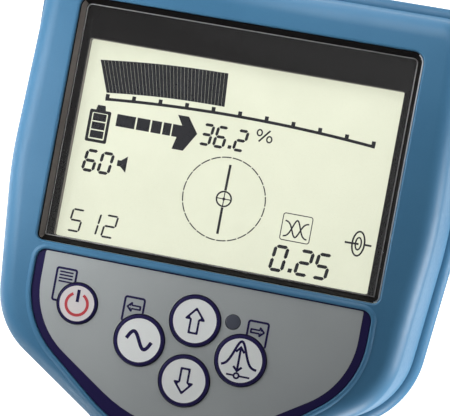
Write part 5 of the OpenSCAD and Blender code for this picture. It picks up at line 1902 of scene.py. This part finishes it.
@dataclass
class Handle:
    """The loop handle: two half shells, a collar at the head and a ribbed rubber sleeve."""

    start: Flat = (-84.2189, 509.945)
    front_corner: Flat = (-118.2, 485.3)
    rear_corner: Flat = (-204.0, 460.655)
    foot: Flat = (-204.0, 368.0)
    front_r: float = 110.0
    rear_r: float = 30.0
    front_chords: int = 14
    rear_chords: int = 16
    parts: int = 6
    root: Flat = (22.0, 18.0)
    grip: Flat = (19.0, 16.0)
    wall: float = 3.0
    edge: float = 0.45
    arm_r: float = 22.0
    arm_ends: Flat = (-232.0, -40.0)
    arm_facets: int = 96
    well_r: float = 3.5
    well_bevel: float = 0.3
    well_seek: float = 0.25
    well_skin: float = 17.0
    lead_screw: float = 0.5
    post_screw: float = 0.3
    sleeve: float = 2.0
    sleeve_end: float = 0.94
    sleeve_parts: int = 10
    rib_count: int = 13
    rib_depth: float = 0.8
    rib_steps: int = 10
    rib_crest: float = 1.6
    end_drop: float = 0.5
    collar_round: float = 1.0
    collar_facets: int = 3

    def bends(self) -> tuple[list[Flat], list[Flat]]:
        """Gives the arcs of the handle's line.

        Returns:
            The arcs at its front and rear corners.
        """
        corners = (self.start, self.front_corner, self.rear_corner, self.foot)
        front = corner_arc(*corners[:3], self.front_r, 0.0, self.front_chords)
        return front, corner_arc(*corners[1:], self.rear_r, 0.0, self.rear_chords)

    def line(self) -> list[tuple[Vector, Vector, float]]:
        """Gives the handle's line.

        Returns:
            Places, directions and shares of the root section.
        """
        front, rear = self.bends()
        steps = shares(self.parts)
        lead = [between(self.start, front[0], t) for t in steps[:-1]]
        run = [between(front[-1], rear[0], t) for t in steps[1:-1]]
        post = [between(rear[-1], self.foot, t) for t in steps[1:]]
        spots = [Vector(p) for p in lead + front + run + rear + post]
        line: list[tuple[Vector, Vector, float]] = []
        for i, spot in enumerate(spots):
            way = (spots[min(i + 1, len(spots) - 1)] - spots[max(i - 1, 0)]).normalized()
            line.append((spot, way, max(0.0, 1 - i / self.parts)))
        return line

    def screws(self) -> list[Spot]:
        """Gives the Y, Z and half width at each screw.

        Returns:
            The three screws from the head to the arm.
        """
        front, rear = self.bends()
        half, root = self.grip[0], self.root[0]
        first = between(self.start, front[0], self.lead_screw)
        last = between(rear[-1], self.foot, self.post_screw)
        bend = rear[self.rear_chords // 2]
        return [(*first, lerp(root, half, self.lead_screw)), (*bend, half), (*last, half)]

    def build_shell(self, side: Side) -> Piece:
        """Builds one half shell.

        Args:
            side: Which half.

        Returns:
            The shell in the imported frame.
        """
        name = side.name.lower()
        rings: list[Ring] = []
        for spot, way, share in self.line():
            section = half_oval(*between(self.grip, self.root, share), self.wall)
            rings.append(across([(side.value * x, h) for x, h in section], spot, way))
        piece = loft(f"{name}_handle_half", rings)
        bevel_where(piece, self.edge, on_split)
        saddle = [(0.0, y, self.foot[1]) for y in self.arm_ends]
        carve(piece, bar(self.arm_r, *saddle, self.arm_facets))
        if side is Side.RIGHT:
            out, bite = self.root[0] + OVERRUN, self.wall + BITE
            wells = [bar(self.well_r, (half - bite, y, z), (out, y, z)) for y, z, half in self.screws()]
            carve(piece, *wells)
            bevel_where(piece, self.well_bevel, self.rims_well)
        return complete(piece, "blue_plastic", [f"{name}_handle_shell"], place=BODY_PLACE)

    def rims_well(self, edge: Edge) -> bool:
        """Tells whether an edge rims a screw well on the outside.

        Args:
            edge: An edge of the right shell.

        Returns:
            Whether it does.
        """
        middle = (edge.verts[0].co + edge.verts[1].co) / 2
        offs = [math.hypot(middle.y - y, middle.z - z) - self.well_r for y, z, _ in self.screws()]
        return middle.x > self.well_skin and any(abs(off) < self.well_seek for off in offs)

    def sleeve_line(self) -> list[tuple[Vector, Vector]]:
        """Gives the places and directions of the sleeve's line.

        Returns:
            The front bend, and most of the straight run behind it.
        """
        line = self.line()
        bend_end = self.parts + self.front_chords
        run_end = bend_end + self.parts
        start, end, way = line[bend_end][0], line[run_end][0], line[(bend_end + run_end) // 2][1]
        bend = [(spot, along) for spot, along, _ in line[self.parts : bend_end + 1]]
        return bend + [(start.lerp(end, self.sleeve_end * t), way) for t in shares(self.sleeve_parts)[1:]]

    def build_sleeve(self) -> Piece:
        """Builds the rubber sleeve with shallow ribs round the grip.

        Returns:
            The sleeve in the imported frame.
        """
        spots = self.sleeve_line()
        lengths = [0.0]
        for a, b in zip(spots, spots[1:]):
            lengths.append(lengths[-1] + (b[0] - a[0]).length)
        outside: list[Ring] = []
        inside: list[Ring] = []
        total = self.rib_count * self.rib_steps
        for k in range(total + 1):
            at = lengths[-1] * k / total
            i = min(len(spots) - 2, max(j for j, length in enumerate(lengths) if length <= at + TINY))
            t = (at - lengths[i]) / (lengths[i + 1] - lengths[i])
            spot = spots[i][0].lerp(spots[i + 1][0], t)
            along = spots[i][1].lerp(spots[i + 1][1], t).normalized()
            wave = 0.5 - 0.5 * math.cos(2 * math.pi * k / self.rib_steps)
            grow = self.sleeve - self.rib_depth * (1 - min(1.0, self.rib_crest * wave))
            if k in (0, total):
                grow -= self.end_drop
            outside.append(across(oval(self.grip[0] + grow, self.grip[1] + grow), spot, along))
            if k % self.rib_steps == 0:
                inside.append(across(oval(*self.grip), spot, along))
        piece = loft("ribbed_grip", outside + inside[::-1], Ends.LOOPED)
        return complete(piece, "grip_rubber", ["grip_sleeve"], place=BODY_PLACE, smooth=Smooth.SOFT)

    def build(self) -> list[Piece]:
        """Builds the shells, the sleeve, the collar and the screws.

        Returns:
            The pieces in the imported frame.
        """
        made = [self.build_shell(side) for side in Side] + [self.build_sleeve()]
        collar = {"segments": self.collar_facets, "smooth": Smooth.ROUND}
        made.append(finish_node("handle_collar", self.collar_round, "black_rubber", **collar))
        return made + [finish_screws("handle_screws")]


def islands(piece: Piece) -> list[list[Vector]]:
    """Gives the points of each loose part of a mesh.

    Args:
        piece: The piece.

    Returns:
        A list of points for each part.
    """
    links: dict[int, list[int]] = {vertex.index: [] for vertex in piece.data.vertices}
    for edge in piece.data.edges:
        a, b = edge.vertices
        links[a].append(b)
        links[b].append(a)
    seen: set[int] = set()
    groups: list[list[Vector]] = []
    for start in links:
        if start in seen:
            continue
        queue, group = [start], []
        seen.add(start)
        while queue:
            index = queue.pop()
            group.append(piece.data.vertices[index].co.copy())
            fresh = [other for other in links[index] if other not in seen]
            seen.update(fresh)
            queue += fresh
        groups.append(group)
    return groups


def finish_screws(node: str, both_ends: bool = False) -> Piece:
    """Rounds the screws that lie across the tool and cuts a cross in each head.

    Args:
        node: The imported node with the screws.
        both_ends: Whether each screw has a head at both of its ends.

    Returns:
        The finished screws.
    """
    piece = refined(node, SCREW_ROUND)
    reach, half, heights = 1.7, 0.42, (-1.2, 0.5)
    plus = [(reach, half), (half, half), (half, reach), (-half, reach), (-half, half), (-reach, half)]
    plus += [(-y, -z) for y, z in plus]
    cuts: list[Piece] = []
    for group in islands(piece):
        low, high = [Vector([pick(axis) for axis in zip(*group)]) / MM for pick in (min, max)]
        middle = (low + high) / 2
        mean = sum(group, Vector()) / len(group) / MM
        faces = [low.x, high.x] if both_ends else [high.x if mean.x > middle.x else low.x]
        for face in faces:
            out = 1 if face > middle.x else -1
            rings = [[(face + out * rise, middle.y + y, middle.z + z) for y, z in plus] for rise in heights]
            cuts.append(loft("cross", rings))
            settle(cuts[-1], BODY_PLACE)
    carve(piece, *cuts)
    polish(piece)
    return hand_over(piece, "steel", [node])


@dataclass
class BatteryArm:
    """The battery arm with its collar, hinged door, pin and stud."""

    nodes: tuple[tuple[str, float, str, str, int], ...] = (
        ("battery_arm", 0.7, "blue_plastic", "body", 3),
        ("arm_collar", 0.6, "black_rubber", "body", 3),
        ("battery_door", 0.7, "blue_plastic", "door", 3),
        ("door_seal", 0.15, "black_rubber", "door", 2),
        ("door_contact", 0.15, "contact_brass", "door", 2),
        ("hinge_pin", 0.25, "steel", "body", 2),
        ("door_stud", 0.35, "steel", "stud", 3),
    )

    def build(self) -> list[Piece]:
        """Builds the finished pieces of the arm and its door."""
        return [finish_node(*values) for values in self.nodes]


@dataclass
class Blade:
    """The antenna blade and its rubber foot."""

    low: float = 10.0
    high: float = 348.0
    half: Flat = (18.0, 19.5)
    depth: Flat = (28.0, 32.0)
    wall: float = 2.5
    steps: int = 12
    foot_gap: float = 0.1
    foot_wall: float = 3.4
    foot_high: float = 46.0
    brim: float = 1.0
    brim_turns: tuple[float, ...] = (0.4, 0.8, 1.2, 1.57)
    sole: float = 4.0
    sole_steps: int = 8
    groove_heights: tuple[float, ...] = (20.0, 15.0, 10.0)
    groove_depth: float = 1.1
    groove: tuple[Flat, ...] = (
        (1.2, 0.0), (0.8, 0.55), (0.4, 0.9), (0.0, 1.0), (-0.4, 0.9), (-0.8, 0.55), (-1.2, 0.0),
    )
    well_z: float = 34.0
    well_r: float = 3.5
    well_sink: float = 2.0
    well_out: float = 30.0

    def section(self, z: float, grow: float) -> Flat:
        """Gives the half width and half depth of the blade at a height, grown all round."""
        t = (z - self.low) / (self.high - self.low)
        return lerp(*self.half, t) + grow, lerp(*self.depth, t) + grow

    def ring(self, z: float, grow: float) -> Ring:
        """Gives a ring of the blade at a height, grown all round."""
        return level(oval(*self.section(z, grow)), z)

    def build_blade(self) -> Piece:
        """Builds the tapered tube.

        Returns:
            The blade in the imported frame.
        """
        heights = [lerp(self.low, self.high, t) for t in shares(self.steps)]
        rings = [self.ring(z, 0.0) for z in heights] + [self.ring(z, -self.wall) for z in heights[::-1]]
        piece = loft("antenna_blade", rings, Ends.LOOPED)
        return complete(piece, "blue_plastic", ["blade_tube"], place=BODY_PLACE)

    def build_foot(self) -> Piece:
        """Builds the rubber foot with grooves round it and a rounded sole.

        Returns:
            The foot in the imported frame.
        """
        top, grow = self.foot_high - self.brim, self.foot_wall - self.brim
        rings = [self.ring(self.foot_high, self.foot_gap), self.ring(self.foot_high, grow)]
        rings += [self.ring(top + math.cos(turn), grow + math.sin(turn)) for turn in self.brim_turns]
        for z in self.groove_heights:
            sinks = [(z + off, self.groove_depth * share) for off, share in self.groove]
            rings += [self.ring(height, self.foot_wall - sink) for height, sink in sinks]
        half, depth = self.section(self.low, self.foot_wall)
        for turn in shares(self.sole_steps, QUARTER):
            inset = self.sole * (1 - math.cos(turn))
            rings.append(level(oval(half - inset, depth - inset), self.sole * (1 - math.sin(turn))))
        piece = loft("rubber_foot", rings)
        mouth = level(oval(*self.section(self.foot_high, self.foot_gap)), self.foot_high + OVERRUN)
        carve(piece, loft("foot_pocket", [self.ring(self.low, self.foot_gap), mouth]))
        seat = self.section(self.well_z, self.foot_wall - self.well_sink)[0]
        ends = [((s * seat, 0.0, self.well_z), (s * self.well_out, 0.0, self.well_z)) for s in (1, -1)]
        carve(piece, *(bar(self.well_r, start, end) for start, end in ends))
        return complete(piece, "grip_rubber", ["foot_boot"], place=BODY_PLACE, smooth=Smooth.ROUND)

    def build(self) -> list[Piece]:
        """Builds the blade, the foot and the foot's screws."""
        return [self.build_blade(), self.build_foot(), finish_screws("boot_screws")]


@dataclass
class Studio:
    """The floor, the soft lights and the camera at the photograph's angle, about the head."""

    camera_at: Spot = (67.490, -13.911, 439.018)
    camera_turn: Spot = (1.78504, 8.24194, 10.7287)
    lens: float = 128.0
    sensor: float = 36.0
    nearest: float = 0.01
    floor_half: float = 6.0
    floor_colour: Colour = (240, 240, 240)
    floor_rough: float = 0.9
    floor_glow: float = 0.89
    world_light: float = 0.03
    lights: tuple[tuple[str, Spot, Spot, float, float], ...] = (
        ("key_light", (-125.0, 5.0, 75.0), (-50.0, -5.0, 0.0), 0.1, 0.215),
        ("top_light", (30.0, 110.0, 60.0), (20.0, 45.0, 0.0), 0.1, 0.115),
        ("rim_light", (230.0, -40.0, -15.0), (62.0, -25.0, -18.0), 0.12, 0.5),
        ("low_light", (140.0, -230.0, -20.0), (45.0, -65.0, -18.0), 0.08, 0.42),
        ("edge_light", (-300.0, -80.0, -120.0), (-62.0, -40.0, -15.0), 0.24, 0.22),
        ("back_light", (-500.0, 900.0, -300.0), (0.0, -150.0, -220.0), 0.6, 9.5),
        ("front_light", (-600.0, -1050.0, 0.0), (0.0, -220.0, -300.0), 0.5, 8.5),
    )

    @staticmethod
    def place(name: str, data: bpy.types.ID, at: Spot, axes: Matrix) -> Piece:
        """Adds a camera or a light.

        Args:
            name: Its name.
            data: Its data.
            at: Its place about the head, in millimetres.
            axes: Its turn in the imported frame.

        Returns:
            The object.
        """
        item = bpy.data.objects.new(name, data)
        bpy.context.scene.collection.objects.link(item)
        item.matrix_world = Matrix.Translation((HEAD_PLACE @ Vector(at)) * MM) @ axes.to_4x4()
        return item

    def build_camera(self) -> None:
        """Adds the camera."""
        data = bpy.data.cameras.new("photo_camera")
        data.sensor_fit = "HORIZONTAL"
        data.sensor_width = self.sensor
        data.lens = self.lens
        data.clip_start = self.nearest
        turn = Euler([math.radians(angle) for angle in self.camera_turn])
        axes = HEAD_PLACE.to_3x3() @ turn.to_matrix()
        bpy.context.scene.camera = self.place("photo_camera", data, self.camera_at, axes)

    def build_lights(self) -> None:
        """Adds the area lights."""
        for name, at, target, size, power in self.lights:
            data = bpy.data.lights.new(name, "AREA")
            data.shape = "DISK"
            data.size = size
            data.energy = power
            way = HEAD_PLACE @ Vector(target) - HEAD_PLACE @ Vector(at)
            self.place(name, data, at, way.to_track_quat("-Z", "Y").to_matrix())

    @staticmethod
    def seen_rays(tree: Tree) -> Socket:
        """Gives a socket that is 1 for the rays of the camera, of gloss and of glass.

        Args:
            tree: The node tree.

        Returns:
            The socket.
        """
        rays = add(tree, "LightPath", {})
        gloss = calculate(tree, "MAXIMUM", rays["Is Camera Ray"], rays["Is Glossy Ray"])
        return calculate(tree, "MAXIMUM", gloss, rays["Is Transmission Ray"])

    def build_world(self) -> None:
        """Sets a pale world that is white where the camera, gloss or glass sees it."""
        world = bpy.data.worlds.new("pale_room")
        world.use_nodes = True
        tree = world.node_tree
        light = {"Value": self.seen_rays(tree), "To Min": self.world_light, "To Max": 1.0}
        strength = add(tree, "MapRange", light)["Result"]
        feed(tree, tree.nodes["Background"], {"Color": (1.0, 1.0, 1.0, 1.0), "Strength": strength})
        bpy.context.scene.world = world

    def build_floor(self) -> None:
        """Adds the pale floor, lifted to white for the camera and still shadowed."""
        clear()
        bpy.ops.mesh.primitive_plane_add(size=2 * self.floor_half, location=(0.0, 0.0, 0.0))
        floor = bpy.context.object
        floor.name = "pale_floor"
        material, tree, shader = start_material("pale_floor")
        feed(tree, shader, {"Base Color": linear(self.floor_colour), "Roughness": self.floor_rough})
        strength = calculate(tree, "MULTIPLY", self.seen_rays(tree), self.floor_glow)
        glow = add(tree, "Emission", {"Color": (1.0, 1.0, 1.0, 1.0), "Strength": strength})["Emission"]
        both = add(tree, "AddShader", {0: shader.outputs["BSDF"], 1: glow})["Shader"]
        feed(tree, tree.nodes["Material Output"], {"Surface": both})
        floor.data.materials.append(material)

    def build(self) -> None:
        """Builds the floor, the world, the lights and the camera."""
        bpy.context.scene.view_settings.view_transform = "Standard"
        self.build_floor()
        self.build_world()
        self.build_lights()
        self.build_camera()


def dress_nodes() -> None:
    """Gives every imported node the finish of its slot."""
    for node, piece in frame["nodes"].items():
        for slot in piece.material_slots:
            slot.material = paint(SLOTS[node])


def main() -> None:
    """Builds the sub-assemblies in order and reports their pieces."""
    logging.basicConfig(level=logging.INFO, format="%(message)s")
    dress_nodes()
    for assembly in (Head(), Display(), Keypad(), Neck(), Handle(), BatteryArm(), Blade()):
        for piece in assembly.build():
            LOG.info("%s: %s with %d faces", type(assembly).__name__, piece.name, len(piece.data.polygons))
    Studio().build()
    clear()


if __name__ == "__main__":
    main()
